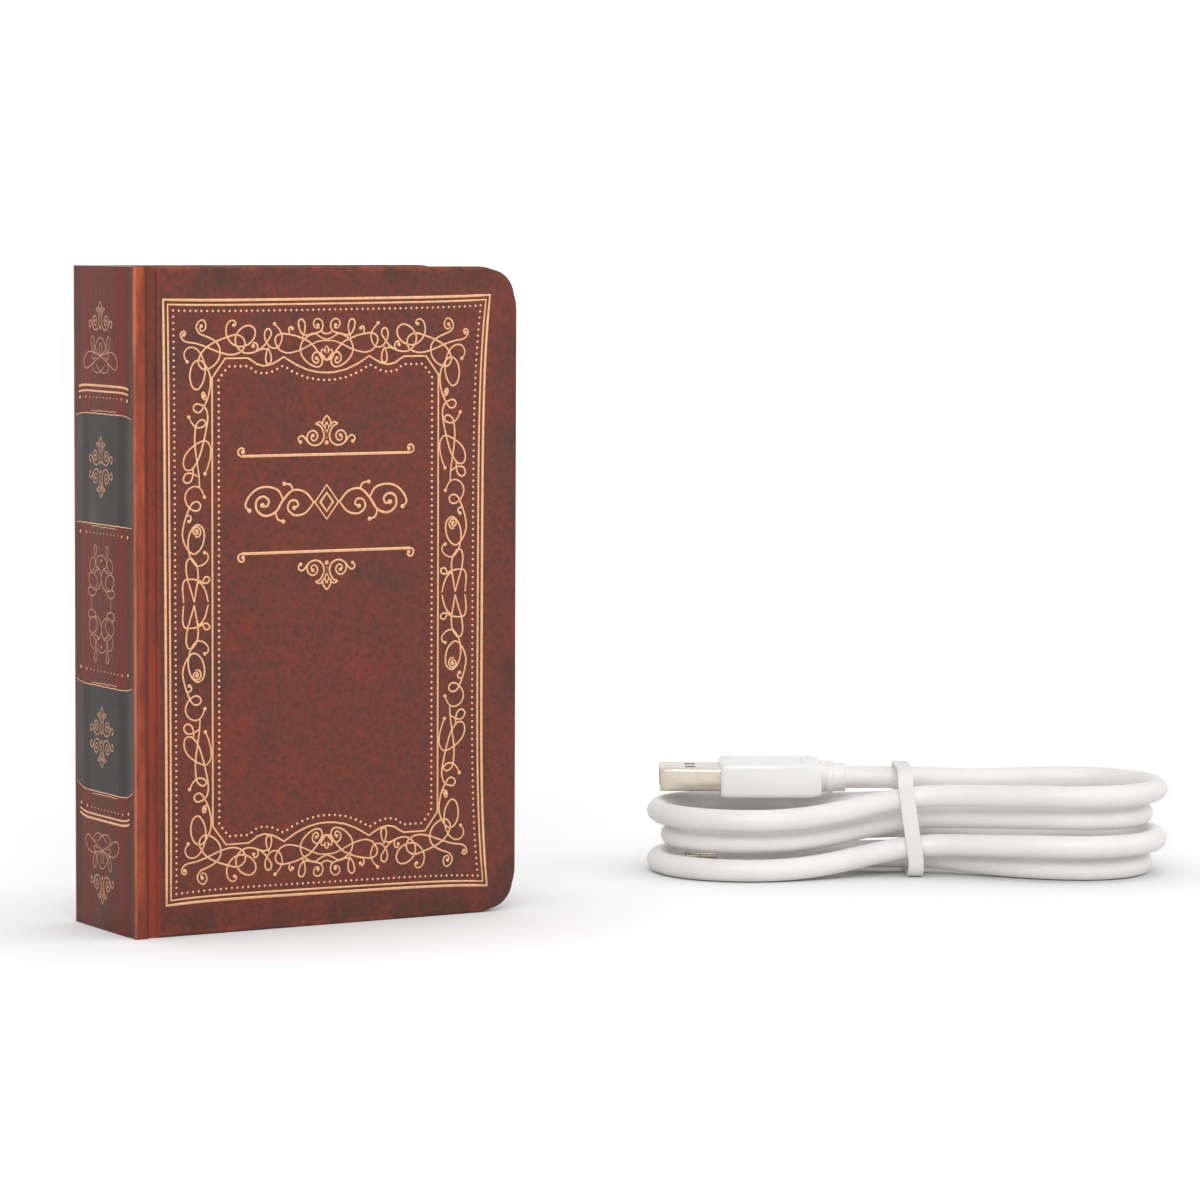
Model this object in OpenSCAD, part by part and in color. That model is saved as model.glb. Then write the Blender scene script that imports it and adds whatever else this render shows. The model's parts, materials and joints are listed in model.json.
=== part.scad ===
// Folding book lamp: a leather-bound book whose pages are one paper bellows with a light bar in the
// spine. The closed book stands on its tail edge. X runs from the spine to the fore edge, the front
// cover faces -Y, and Z runs up from the table. The origin is the middle of the closed book's foot.
// Each cover swings 90 degrees on its round leather joint, and six groups of pleats a side follow it.

/* [Book] */
// Height of the closed book, from tail to head
book_h = 120; // [110:1:180]
// Width of the closed book, from spine to fore edge
book_w = 78; // [66:1:130]
// Thickness of the closed book over both covers
book_t = 26; // [25:0.5:40]

/* [Covers] */
// Thickness of the greyboard in the covers and the spine
board_t = 2; // [1.6:0.1:3]
// Thickness of the leather round the boards
leather_t = 0.5; // [0.3:0.1:1]
// Thickness of the paper inside the covers and the spine
endpaper_t = 0.3; // [0.2:0.05:0.6]
// Radius of the covers' two corners at the fore edge
corner_r = 8; // [3:0.5:14]
// Width of the leather turned in round the inside of a cover
turn_in = 3; // [2:0.5:12]
// Width of the groove between a cover's board and its round joint
groove_w = 1.6; // [1:0.1:4]
// Depth of that groove below the cover's outer face
groove_depth = 0.7; // [0.3:0.1:1.2]
// Thickness of the leather flap at the bottom of the groove
flap_t = 1; // [0.6:0.1:1.3]
// Gap between a cover's flap and the round leather joint
joint_gap = 0.25; // [0.2:0.05:0.6]

/* [Pleats] */
// How far the folded paper stays inside the covers' edges
page_inset = 3; // [1:0.5:8]
// Depth of the pleats, from ridge to valley
pleat_depth = 15; // [8:0.5:24]
// Thickness of one flat group of three pleats
pleat_t = 1.1; // [0.5:0.05:1.4]
// Gap between the outermost pleats and the cover's lining
pleat_gap = 0.3; // [0.25:0.05:1]
// Radius of the pleats' outer corners
pleat_corner_r = 1.5; // [0.5:0.5:6]

/* [Light bar] */
// Clearance between the light bar and the pleats' inner folds
core_gap = 0.45; // [0.3:0.05:1]
// Wall of the half-round amber diffuser
diffuser_t = 0.7; // [0.5:0.1:1]
// Length of each end cap of the light bar
cap_l = 2; // [1.5:0.5:4]
// How far the light bar stays below the covers' head and tail
core_inset = 4; // [3:0.5:10]
// Thickness of the adhesive tape under the light bar
tape_t = 0.2; // [0.1:0.05:0.4]
// Thickness of both circuit boards
pcb_t = 0.6; // [0.4:0.1:1]
// Width of the board that carries the lights
led_board_w = 5.6; // [4:0.2:5.8]
// Number of lights along that board
led_n = 12; // [6:1:16]
// Length, width and height of one light
led_size = [3.5, 2.8, 0.7];
// Length of the flat battery cell
cell_l = 52; // [30:1:54]
// Width of the battery cell and of the charging board
cell_w = 7.2; // [5:0.2:7.4]
// Thickness of the battery cell
cell_t = 2.2; // [1.5:0.1:2.3]
// Clearance between the parts inside the light bar
core_fit = 0.15; // [0.1:0.05:0.3]
// Length of the charging board
charge_board_l = 30; // [24:1:34]
// Width, height and length of the charging socket
port_size = [7.2, 2.6, 5.6];
// Wall of the charging socket and of the plugs' metal shells
shell_t = 0.3; // [0.2:0.05:0.4]

/* [Magnets] */
// Radius of the discs that hold the covers shut
magnet_r = 3; // [2:0.5:5]
// Thickness of those discs
magnet_t = 1; // [0.6:0.1:1.4]
// Distance from a magnet to the fore edge, the head or the tail
magnet_inset = 12; // [9:1:30]
// Radius of the small disc that works the switch
switch_magnet_r = 2; // [1:0.5:3]
// Clearance round a magnet in its pocket
magnet_fit = 0.1; // [0.05:0.05:0.3]

/* [Cable] */
// Diameter of the charging cable
cable_d = 4.4; // [4:0.1:4.6]
// Length of the tied hank over its loops
hank_l = 106; // [96:1:140]
// Centre-line radius of the hank's outermost fold
fold_r = 18; // [17:0.5:20]
// Step from one strand to the one beside it
strand_step = 5.5; // [5.3:0.1:6]
// Step from one layer of strands to the next
layer_step = 4.9; // [4.85:0.05:6]
// Clearance between the tie and the strands
tie_gap = 0.3; // [0.2:0.05:0.6]
// Thickness of the flat tie
tie_t = 0.8; // [0.5:0.1:1.2]
// Width of the flat tie
tie_w = 3; // [2:0.5:8]
// Where the middle of the hank lies on the table
hank_at = [133.5, -3.5];
// How far the hank is turned from the book's width
hank_turn = -30; // [-60:1:60]

/* [Plugs] */
// Length, width and height of the large plug's metal shell
plug_shell = [12, 12, 4.5];
// Length, width and height of the large plug's body
plug_body = [20, 16, 6.8];
// Length and larger radius of the large plug's stepped relief
plug_relief = [5, 3.3];
// Length, width and height of the small plug's metal tip
tip_size = [6, 6.8, 1.8];
// Length and width of the small plug's body
tip_body = [16, 9.4];
// Length and larger radius of the small plug's stepped relief
tip_relief = [6, 2.9];
// Distance from the tie to the end of the cable at each plug
lead_l = [12, 16];

/* [Hidden] */
$fn = 64;

leather_brown = [0.42, 0.2, 0.15];
board_grey = [0.55, 0.53, 0.5];
lining_tan = [0.72, 0.52, 0.34];
paper_white = [0.95, 0.93, 0.88];
amber = [1, 0.7, 0.3];
cream_plastic = [0.93, 0.88, 0.78];
metal = [0.75, 0.75, 0.76];
board_green = [0.85, 0.87, 0.86];
cable_white = [0.93, 0.93, 0.92];

// Covers and joints
cover_t = board_t + leather_t;
joint_r = cover_t / 2;
flap_x = 2 * joint_r + joint_gap;
cover_x = flap_x + groove_w;
lining_in = cover_t + endpaper_t;
spine_hw = book_t / 2 - 2 * joint_r;
spine_edge_gap = 0.2;
liner_edge_gap = 0.6;

// Pleat groups, the same number on each side of the middle one
groups = 6;
fold_angle = 90 / groups;
pitch = (book_t - 2 * (lining_in + pleat_gap) - pleat_t) / (2 * groups);
fan_drop = pitch * (sum([for (k = [1 : groups - 1]) sin(k * fold_angle)]) + 0.5);
fan_x = lining_in + pleat_gap + pleat_t / 2;
fold_x = fan_x + fan_drop;
fan_r = pitch / (2 * sin(fold_angle / 2));

// Light bar: a half-round bar that the opened pleats stand round
core_r = fan_r - core_gap;
core_in_r = core_r - diffuser_t;
core_z0 = core_inset;
core_z1 = book_h - core_inset;
tape_x = lining_in;
base_x = tape_x + tape_t;
cell_x = fan_x + core_fit;
led_board_x = cell_x + cell_t + core_fit;
led_x = led_board_x + pcb_t;
cell_z = core_z0 + cap_l + core_fit;
charge_z = core_z1 - port_size[2] - charge_board_l;
led_board_z0 = core_z0 + cap_l + core_fit;
led_board_z1 = core_z1 - port_size[2] - core_fit;
led_pitch = (led_board_z1 - led_board_z0) / led_n;
pocket_t = magnet_t + magnet_fit;

// Hank: four layers of one cable, drawn in at the tie
cable_r = cable_d / 2;
loops = 3.5;
rings_per_loop = 24;
tube_sides = 6;
fold_x_at = hank_l / 2 - cable_r - fold_r;
lift = tie_t + tie_gap;
waist_y = strand_step / 2 - 0.1;
waist_in = fold_r - strand_step - waist_y;
first_turn = 0.75;
last_turn = first_turn + loops;
climb = 0.22;

function sum(v, i = 0) = i < len(v) ? v[i] + sum(v, i + 1) : 0;
function smooth(x) = let (c = min(max(x, 0), 1)) c * c * (3 - 2 * c);
function unit(v) = v / norm(v);

// How far a strand lies inside the outermost one: in and out again at a steady rate
function strand_offset(t) =
    let (s = (t - first_turn) % 2)
    strand_step * (s < 1 ? 1 - s : s - 1);

// Layer of a strand, climbing along the near run
function strand_layer(t) =
    smooth((t - first_turn - 1) / climb + 0.5)
    + smooth((t - first_turn - 2) / climb + 0.5)
    + smooth((t - first_turn - 3) / climb + 0.5);

// Half width lost to the tie at a place along the hank, and the rise over the tie
function drawn_in(x) = waist_in * (1 + cos(180 * min(abs(x) / fold_x_at, 1))) / 2;
function rise(x) = lift * exp(-pow(x / 12, 2));

// Place in plan at part u of one loop, whose strand lies o inside the outermost one
function loop_xy(u, o) =
    u < 0.125 ? fold_xy(u * 720, 1, o)
    : u < 0.375 ? run_xy(fold_x_at * (1 - 8 * (u - 0.125)), 1, o)
    : u < 0.625 ? fold_xy(90 + (u - 0.375) * 720, -1, o)
    : u < 0.875 ? run_xy(fold_x_at * (8 * (u - 0.625) - 1), -1, o)
    : fold_xy(270 + (u - 0.875) * 720, 1, o);
function fold_xy(a, end, o) = [end * fold_x_at + (fold_r - o) * cos(a), (fold_r - o) * sin(a)];
function run_xy(x, side, o) = [x, side * (fold_r - o - drawn_in(x))];

function strand_point(t) =
    let (p = loop_xy(t % 1, strand_offset(t)))
    [p[0], p[1], cable_r + rise(p[0]) + layer_step * strand_layer(t)];

// The whole cable: straight out of the small plug, round the loops, and straight into the large plug
small_plug_end = let (p = strand_point(first_turn)) [-lead_l[1], p[1], p[2]];
large_plug_end = let (p = strand_point(last_turn)) [-lead_l[0], p[1], p[2]];
function hank_path(per_loop) = concat(
    [small_plug_end, small_plug_end + [cable_d, 0, 0]],
    [for (i = [0 : loops * per_loop]) strand_point(first_turn + i / per_loop)],
    [large_plug_end + [cable_d, 0, 0], large_plug_end]);
hank_points = hank_path(rings_per_loop);

function path_length(p, i = 1) = i < len(p) ? norm(p[i] - p[i - 1]) + path_length(p, i + 1) : 0;
gap_points = hank_path(4 * rings_per_loop);
least_gap = min([for (i = [0 : len(gap_points) - 1], j = [i + 40 : len(gap_points) - 1])
                 norm(gap_points[i] - gap_points[j])]) - cable_d;
echo(cable_length = path_length(hank_points), least_gap_of_hank = least_gap);

// A closed tube along points, with its end faces square to the path
module tube(points, radius, sides) {
    last = len(points) - 1;
    tangents = [for (i = [0 : last]) unit(points[min(i + 1, last)] - points[max(i - 1, 0)])];
    rings = [for (i = [0 : last])
             let (across = unit(cross(tangents[i], [0, 0, 1])), up = cross(across, tangents[i]))
             for (j = [0 : sides - 1])
             points[i] + radius * (cos(90 + 360 * j / sides) * across + sin(90 + 360 * j / sides) * up)];
    walls = [for (i = [0 : last - 1], j = [0 : sides - 1])
             let (a = i * sides + j, b = i * sides + (j + 1) % sides)
             each [[a, b, b + sides], [a, b + sides, a + sides]]];
    ends = [for (j = [1 : sides - 2])
            each [[0, j + 1, j], [last * sides, last * sides + j, last * sides + j + 1]]];
    polyhedron(rings, concat(walls, ends), convexity = 10);
}

// From the spine's outer face to the frame of the part
module at_spine() {
    translate([-book_w / 2, 0, 0]) children();
}

// The back half is the front half mirrored
module on_side(front) {
    mirror([0, front ? 0 : 1, 0]) children();
}

// A flat piece of the front cover between two depths under its outer face
module cover_slab(depth_0, depth_1) {
    at_spine() translate([0, depth_1 - book_t / 2, 0])
        rotate([90, 0, 0]) linear_extrude(depth_1 - depth_0) children();
}

// Outline of a cover from x0 to the fore edge, drawn in all round, with two round corners
module cover_outline(x0, inset) {
    r = max(corner_r - inset, 0.5);
    x1 = book_w - inset;
    z1 = book_h - inset;
    translate([x0, inset]) square([x1 - r - x0, z1 - inset]);
    translate([x1 - 2 * r, inset + r]) square([2 * r, z1 - inset - 2 * r]);
    for (z = [inset + r, z1 - r]) translate([x1 - r, z]) circle(r);
}

module spine_leather() {
    color(leather_brown) at_spine() {
        translate([0, joint_r - book_t / 2, 0]) cube([leather_t, book_t - 2 * joint_r, book_h]);
        for (side = [-1, 1])
            translate([joint_r, side * (book_t / 2 - joint_r), 0]) cylinder(r = joint_r, h = book_h);
    }
}

module spine_board() {
    color(board_grey) at_spine()
        translate([leather_t, spine_edge_gap - spine_hw, 0])
            cube([board_t, 2 * (spine_hw - spine_edge_gap), book_h]);
}

module spine_liner() {
    color(lining_tan) at_spine()
        translate([cover_t, liner_edge_gap - spine_hw, page_inset])
            cube([endpaper_t, 2 * (spine_hw - liner_edge_gap), book_h - 2 * page_inset]);
}

module cover_leather(front) {
    color(leather_brown) on_side(front) {
        cover_slab(0, leather_t) cover_outline(cover_x, 0);
        cover_slab(leather_t, cover_t) difference() {
            cover_outline(cover_x, 0);
            cover_outline(cover_x + leather_t, leather_t);
        }
        cover_slab(cover_t, lining_in) difference() {
            cover_outline(cover_x, 0);
            cover_outline(cover_x + turn_in, turn_in);
        }
        cover_slab(groove_depth, groove_depth + flap_t)
            translate([flap_x, 0]) square([groove_w + leather_t, book_h]);
    }
}

// Centres of the two closing magnets on a cover, and of the switch's magnet
magnet_places = [for (z = [magnet_inset, book_h - magnet_inset]) [book_w - magnet_inset, z]];
switch_z = charge_z + charge_board_l / 2;
switch_place = [cover_x + leather_t + switch_magnet_r + 1, switch_z];

module cover_board(front) {
    color(board_grey) on_side(front) difference() {
        cover_slab(leather_t, cover_t) cover_outline(cover_x + leather_t, leather_t);
        cover_slab(cover_t - pocket_t, cover_t + 1)
            for (p = magnet_places) translate(p) circle(magnet_r + magnet_fit);
        if (front)
            cover_slab(cover_t - pocket_t, cover_t + 1)
                translate(switch_place) circle(switch_magnet_r + magnet_fit);
    }
}

module cover_endpaper(front) {
    color(lining_tan) on_side(front)
        cover_slab(cover_t, lining_in) cover_outline(cover_x + turn_in, turn_in);
}

module cover_magnets(front) {
    color(metal) on_side(front)
        cover_slab(cover_t - pocket_t, cover_t - magnet_fit)
            for (p = magnet_places) translate(p) circle(magnet_r);
}

module switch_magnet() {
    color(metal)
        cover_slab(cover_t - pocket_t, cover_t - magnet_fit)
            translate(switch_place) circle(switch_magnet_r);
}

// One flat group of folded pleats, open towards the spine. Group 0 is the middle one.
module pleats(k, front) {
    x1 = book_w - page_inset;
    z1 = book_h - page_inset;
    r = pleat_corner_r;
    color(paper_white) on_side(front) at_spine()
        translate([0, pleat_t / 2 - k * pitch, 0])
            rotate([90, 0, 0]) linear_extrude(pleat_t) difference() {
                union() {
                    translate([fold_x, page_inset]) square([x1 - r - fold_x, z1 - page_inset]);
                    translate([x1 - 2 * r, page_inset + r]) square([2 * r, z1 - page_inset - 2 * r]);
                    for (z = [page_inset + r, z1 - r]) translate([x1 - r, z]) circle(r);
                }
                translate([fold_x - 1, page_inset + pleat_depth])
                    square([x1 - fold_x - pleat_depth + 1, z1 - page_inset - 2 * pleat_depth]);
            }
}

module core_tape() {
    color("white") at_spine()
        translate([tape_x, core_fit - core_r, core_z0 + cap_l])
            cube([tape_t, 2 * (core_r - core_fit), core_z1 - core_z0 - 2 * cap_l]);
}

module core_base() {
    color(cream_plastic) at_spine()
        translate([base_x, -core_r, core_z0 + cap_l])
            cube([fan_x - base_x, 2 * core_r, core_z1 - core_z0 - 2 * cap_l]);
}

// A half disc of the bar's section, on the side away from the spine
module half_disc(r) {
    intersection() {
        circle(r);
        translate([0, -r]) square([r, 2 * r]);
    }
}

module core_diffuser() {
    color(amber) at_spine()
        translate([fan_x, 0, core_z0 + cap_l])
            linear_extrude(core_z1 - core_z0 - 2 * cap_l) difference() {
                half_disc(core_r);
                circle(core_in_r);
            }
}

module end_cap() {
    translate([fan_x, 0, 0]) linear_extrude(cap_l) half_disc(core_r);
    translate([base_x, -core_r, 0]) cube([fan_x - base_x, 2 * core_r, cap_l]);
}

module tail_cap() {
    color(cream_plastic) at_spine() translate([0, 0, core_z0]) end_cap();
}

module head_cap() {
    color(cream_plastic) at_spine() difference() {
        translate([0, 0, core_z1 - cap_l]) end_cap();
        translate([cell_x - core_fit / 2, -port_size[0] / 2 - core_fit / 2, core_z1 - cap_l - 1])
            cube([port_size[1] + core_fit, port_size[0] + core_fit, cap_l + 2]);
    }
}

module battery_cell() {
    color("silver") at_spine()
        translate([cell_x, -cell_w / 2, cell_z]) cube([cell_t, cell_w, cell_l]);
}

// Two wires from the cell's end to the charging board's end
module battery_wires() {
    wire_r = pcb_t / 2;
    color("firebrick") at_spine()
        for (y = [-1, 1])
            translate([cell_x + wire_r, y * cell_w / 4, cell_z + cell_l])
                cylinder(r = wire_r, h = charge_z - cell_z - cell_l);
}

module charge_board() {
    color(board_green) at_spine()
        translate([cell_x, -cell_w / 2, charge_z]) cube([pcb_t, cell_w, charge_board_l]);
}

// A small part that sits on the charging board, a given way up from its end
module on_charge_board(up, size, y = 0) {
    at_spine() translate([cell_x + pcb_t, y - size[1] / 2, charge_z + up]) cube(size);
}

module charge_chip() {
    color([0.12, 0.12, 0.12]) on_charge_board(charge_board_l * 0.62, [1.2, 4, 5]);
}

module charge_light() {
    color("red") on_charge_board(charge_board_l - 2.5, [0.6, 0.8, 1.6], cell_w / 2 - 1);
}

module magnetic_switch() {
    color([0.2, 0.2, 0.22]) on_charge_board(charge_board_l / 2 - 1.5, [1.1, 1.6, 3], 1 - cell_w / 2);
}

// Three pins that carry current from the charging board to the lights' board
module link_pins() {
    pin_pitch = 2.5;
    color("goldenrod") at_spine()
        for (i = [-1 : 1])
            translate([cell_x + pcb_t, i * 1.5, charge_z + pin_pitch])
                rotate([0, 90, 0]) cylinder(r = 0.3, h = led_board_x - cell_x - pcb_t);
}

// The socket at the head end, flush with its cap, open upwards
module usb_port() {
    color(metal) at_spine()
        translate([cell_x, -port_size[0] / 2, core_z1 - port_size[2]]) difference() {
            cube([port_size[1], port_size[0], port_size[2]]);
            translate([shell_t, shell_t, shell_t])
                cube([port_size[1] - 2 * shell_t, port_size[0] - 2 * shell_t, port_size[2]]);
        }
}

module usb_port_tongue() {
    tongue_t = 0.7;
    color([0.15, 0.15, 0.15]) at_spine()
        translate([cell_x + (port_size[1] - tongue_t) / 2, -port_size[0] / 4,
                   core_z1 - port_size[2] + shell_t])
            cube([tongue_t, port_size[0] / 2, port_size[2] - shell_t - 0.6]);
}

module led_board() {
    color(board_green) at_spine()
        translate([led_board_x, -led_board_w / 2, led_board_z0])
            cube([pcb_t, led_board_w, led_board_z1 - led_board_z0]);
}

module led_chips() {
    color([1, 0.85, 0.4]) at_spine()
        for (i = [0 : led_n - 1])
            translate([led_x, -led_size[1] / 2, led_board_z0 + (i + 0.5) * led_pitch - led_size[0] / 2])
                cube([led_size[2], led_size[1], led_size[0]]);
}

// From the hank's own frame to its place on the table
module at_hank() {
    translate([hank_at[0], hank_at[1], 0]) rotate([0, 0, hank_turn]) children();
}

module cable_hank() {
    color(cable_white) at_hank() tube(hank_points, cable_r, tube_sides);
}

// Rectangle with round corners, from one corner to the other
module round_rect(low, high, r) {
    size = high - low;
    translate([low[0] + r, low[1]]) square([size[0] - 2 * r, size[1]]);
    translate([low[0], low[1] + r]) square([size[0], size[1] - 2 * r]);
    for (x = [low[0] + r, high[0] - r], y = [low[1] + r, high[1] - r]) translate([x, y]) circle(r);
}

// The profile, drawn in the hank's Y and Z, runs along the hank's length from x by a given length
module along_hank(x, length) {
    at_hank() translate([x, 0, 0]) rotate([90, 0, 90]) linear_extrude(length) children();
}

module cable_tie() {
    low = [-(fold_r - waist_in) - cable_r - tie_gap, tie_t];
    high = [fold_r - strand_step / 2 - waist_in + cable_r + tie_gap,
            lift + 3 * layer_step + cable_d + tie_gap];
    wall = [tie_t, tie_t];
    color(cable_white) along_hank(-tie_w / 2, tie_w) difference() {
        round_rect(low - wall, high + wall, cable_r + tie_gap + tie_t);
        round_rect(low, high, cable_r + tie_gap);
    }
}

// A plug's profile, centred on the end of its cable, from the cable's end outwards
module plug_piece(end, from, length) {
    at_hank() translate([end[0] - from - length, end[1], end[2]])
        rotate([90, 0, 90]) linear_extrude(length) children();
}

module centred_round_rect(size, r) {
    round_rect(-size / 2, size / 2, r);
}

module stepped_relief(end, size) {
    plug_piece(end, 0, size[0] / 2) circle(size[1] - 0.4);
    plug_piece(end, size[0] / 2, size[0] / 2) circle(size[1]);
}

module plug_strain_relief() {
    color(cable_white) stepped_relief(large_plug_end, plug_relief);
}

module plug_housing() {
    color(cable_white) plug_piece(large_plug_end, plug_relief[0], plug_body[0])
        centred_round_rect([plug_body[1], plug_body[2]], 1.2);
}

module plug_shell_metal() {
    from = plug_relief[0] + plug_body[0];
    outer = [plug_shell[1], plug_shell[2]];
    latch = 2;
    color(metal) difference() {
        plug_piece(large_plug_end, from, plug_shell[0]) difference() {
            centred_round_rect(outer, 0.5);
            centred_round_rect(outer - [2 * shell_t, 2 * shell_t], 0.3);
        }
        for (side = [-1, 1])
            at_hank() translate(large_plug_end + [-from - plug_shell[0] / 2, side * plug_shell[1] / 5, 0])
                translate([-latch / 2, -latch / 2, 0]) cube([latch, latch, plug_shell[2]]);
    }
}

module plug_contact_block() {
    block_t = (plug_shell[2] - 2 * shell_t) / 2;
    color("white") plug_piece(large_plug_end, plug_relief[0] + plug_body[0], plug_shell[0] - 1)
        translate([2 * shell_t - plug_shell[1] / 2, shell_t - plug_shell[2] / 2])
            square([plug_shell[1] - 4 * shell_t, block_t]);
}

module small_plug_strain_relief() {
    color(cable_white) stepped_relief(small_plug_end, tip_relief);
}

module small_plug_housing() {
    color(cable_white) plug_piece(small_plug_end, tip_relief[0], tip_body[0])
        centred_round_rect([tip_body[1], 2 * small_plug_end[2]], 1.2);
}

module small_plug_tip() {
    color(metal) plug_piece(small_plug_end, tip_relief[0] + tip_body[0], tip_size[0])
        centred_round_rect([tip_size[1], tip_size[2]], 0.5);
}

spine_leather();
spine_board();
spine_liner();
core_tape();
core_base();
core_diffuser();
tail_cap();
head_cap();
battery_cell();
battery_wires();
charge_board();
charge_chip();
charge_light();
magnetic_switch();
link_pins();
usb_port();
usb_port_tongue();
led_board();
led_chips();
pleats(0, true);  // middle_pleats
cable_hank();
cable_tie();
plug_shell_metal();
plug_contact_block();
plug_housing();
plug_strain_relief();
small_plug_tip();
small_plug_housing();
small_plug_strain_relief();
cover_leather(true);  // front_leather
cover_board(true);  // front_board
cover_endpaper(true);  // front_endpaper
cover_magnets(true);  // front_magnets
switch_magnet();
cover_leather(false);  // back_leather
cover_board(false);  // back_board
cover_endpaper(false);  // back_endpaper
cover_magnets(false);  // back_magnets
for (k = [1 : groups]) {
    pleats(k, true);
    pleats(k, false);
}
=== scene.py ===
"""Folding book lamp, dressed and lit.

A small leather-bound book stands closed on a white table, with its charging cable tied in a hank beside it.
The covers turn on the rolled leather joints of the spine, and a pleated paper bellows fans out between them
round an amber bar of light. All places are in metres, in the frame of the part: X from the spine to the fore
edge, Y from the front cover to the back cover, Z up from the foot of the book.
"""

from __future__ import annotations

import json
import logging
import math
import random
from dataclasses import dataclass, field, replace
from enum import Enum
from typing import Callable, Sequence

import bmesh
import bpy
from mathutils import Matrix, Quaternion, Vector, noise

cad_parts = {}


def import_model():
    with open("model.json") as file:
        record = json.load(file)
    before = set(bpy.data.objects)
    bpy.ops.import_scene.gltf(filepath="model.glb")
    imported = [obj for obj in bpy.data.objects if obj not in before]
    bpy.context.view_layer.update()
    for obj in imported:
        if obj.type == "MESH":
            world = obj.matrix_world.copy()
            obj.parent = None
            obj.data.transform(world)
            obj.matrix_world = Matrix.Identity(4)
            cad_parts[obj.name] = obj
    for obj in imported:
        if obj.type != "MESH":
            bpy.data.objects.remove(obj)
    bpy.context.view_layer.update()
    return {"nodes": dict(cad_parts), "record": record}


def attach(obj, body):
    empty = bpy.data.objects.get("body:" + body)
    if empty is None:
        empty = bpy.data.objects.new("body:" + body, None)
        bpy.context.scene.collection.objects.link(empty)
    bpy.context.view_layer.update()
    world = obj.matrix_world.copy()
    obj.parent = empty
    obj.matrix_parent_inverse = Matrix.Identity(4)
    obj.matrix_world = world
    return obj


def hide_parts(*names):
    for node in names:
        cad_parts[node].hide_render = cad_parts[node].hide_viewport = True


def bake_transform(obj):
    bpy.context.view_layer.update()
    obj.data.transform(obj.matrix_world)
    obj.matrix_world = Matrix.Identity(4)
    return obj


LOG = logging.getLogger("book_lamp")
MM = 0.001
Point2 = tuple[float, float]
Point3 = tuple[float, float, float]
Colour = tuple[float, float, float]
Piece = bpy.types.Object
Socket = bpy.types.NodeSocket


# --- Sizes ---


@dataclass(frozen=True)
class BookSizes:
    """Sizes of the book in millimetres, from the spine's outer face, the foot and a cover's outer face."""

    height: float = 120.0
    width: float = 78.0
    thickness: float = 26.0
    leather_t: float = 0.5
    cover_t: float = 2.5
    lining_in: float = 2.8
    joint_r: float = 1.25
    cover_x: float = 4.35
    groove_depth: float = 0.7
    flap_t: float = 1.0
    corner_r: float = 8.0
    turn_in: float = 3.0
    page_inset: float = 3.0
    pleat_depth: float = 15.0
    pleat_gap: float = 0.3
    pleat_t: float = 1.1
    groups: int = 6
    core_gap: float = 0.45
    diffuser_t: float = 0.7
    core_inset: float = 4.0
    cap_l: float = 2.0

    @property
    def pitch(self) -> float:
        """Step from one group of three pleats to the next."""
        return (self.thickness - 2 * (self.lining_in + self.pleat_gap) - self.pleat_t) / (2 * self.groups)

    @property
    def fold_angle(self) -> float:
        """Turn between two groups of the opened lamp, in radians."""
        return math.pi / 2 / self.groups

    @property
    def fan_x(self) -> float:
        """Depth of the light bar's flat side behind the spine's outer face."""
        return self.lining_in + self.pleat_gap + self.pleat_t / 2

    @property
    def fold_x(self) -> float:
        """Distance from the spine's outer face to the inner end of the pleats."""
        drop = sum(math.sin(k * self.fold_angle) for k in range(1, self.groups)) + 0.5
        return self.fan_x + self.pitch * drop

    @property
    def core_r(self) -> float:
        """Outer radius of the half-round light bar."""
        return self.pitch / (2 * math.sin(self.fold_angle / 2)) - self.core_gap

    def x(self, from_spine: float) -> float:
        """Place along X, in metres, of a distance from the spine's outer face."""
        return (from_spine - self.width / 2) * MM

    def front_y(self, depth: float) -> float:
        """Place along Y, in metres, of a depth under the front cover's outer face."""
        return (depth - self.thickness / 2) * MM


BOOK = BookSizes()
SPINE_LABELS: tuple[Point2, ...] = ((73.6, 93.5), (25.0, 44.3))


@dataclass(frozen=True)
class Arch:
    """How the spine's labels and lines bend towards its middle height near its sides."""

    start: float = 4.5
    end: float = 12.0
    centre_z: float = 70.0
    share: float = 0.028
    power: float = 4.0


ARCH = Arch()


class Side(Enum):
    """The two covers, with the side of the book that each is on."""

    FRONT = -1
    BACK = 1

    @property
    def word(self) -> str:
        """The side's name in the names of pieces and bodies."""
        return self.name.lower()


# --- Modelling bench ---


def deselect_all() -> None:
    """Leave edit mode and deselect every object."""
    if bpy.context.object is not None and bpy.context.object.mode != "OBJECT":
        bpy.ops.object.mode_set(mode="OBJECT")
    bpy.ops.object.select_all(action="DESELECT")


def take(piece: Piece) -> None:
    """Make a piece the only selected object, and the active one."""
    deselect_all()
    piece.select_set(True)
    bpy.context.view_layer.objects.active = piece


def settle(piece: Piece) -> Piece:
    """Put a piece's place, turn and size into its mesh, so that its object stands at the origin."""
    take(piece)
    bpy.ops.object.transform_apply(location=True, rotation=True, scale=True)
    return piece


def place(piece: Piece, matrix: Matrix) -> Piece:
    """Move a piece by a matrix and put that move into its mesh.

    Args:
        piece: The piece, whose object is at the origin.
        matrix: The move, in the frame of the part.

    Returns:
        The same piece.
    """
    piece.matrix_world = matrix
    bpy.context.view_layer.update()
    return settle(piece)


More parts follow.
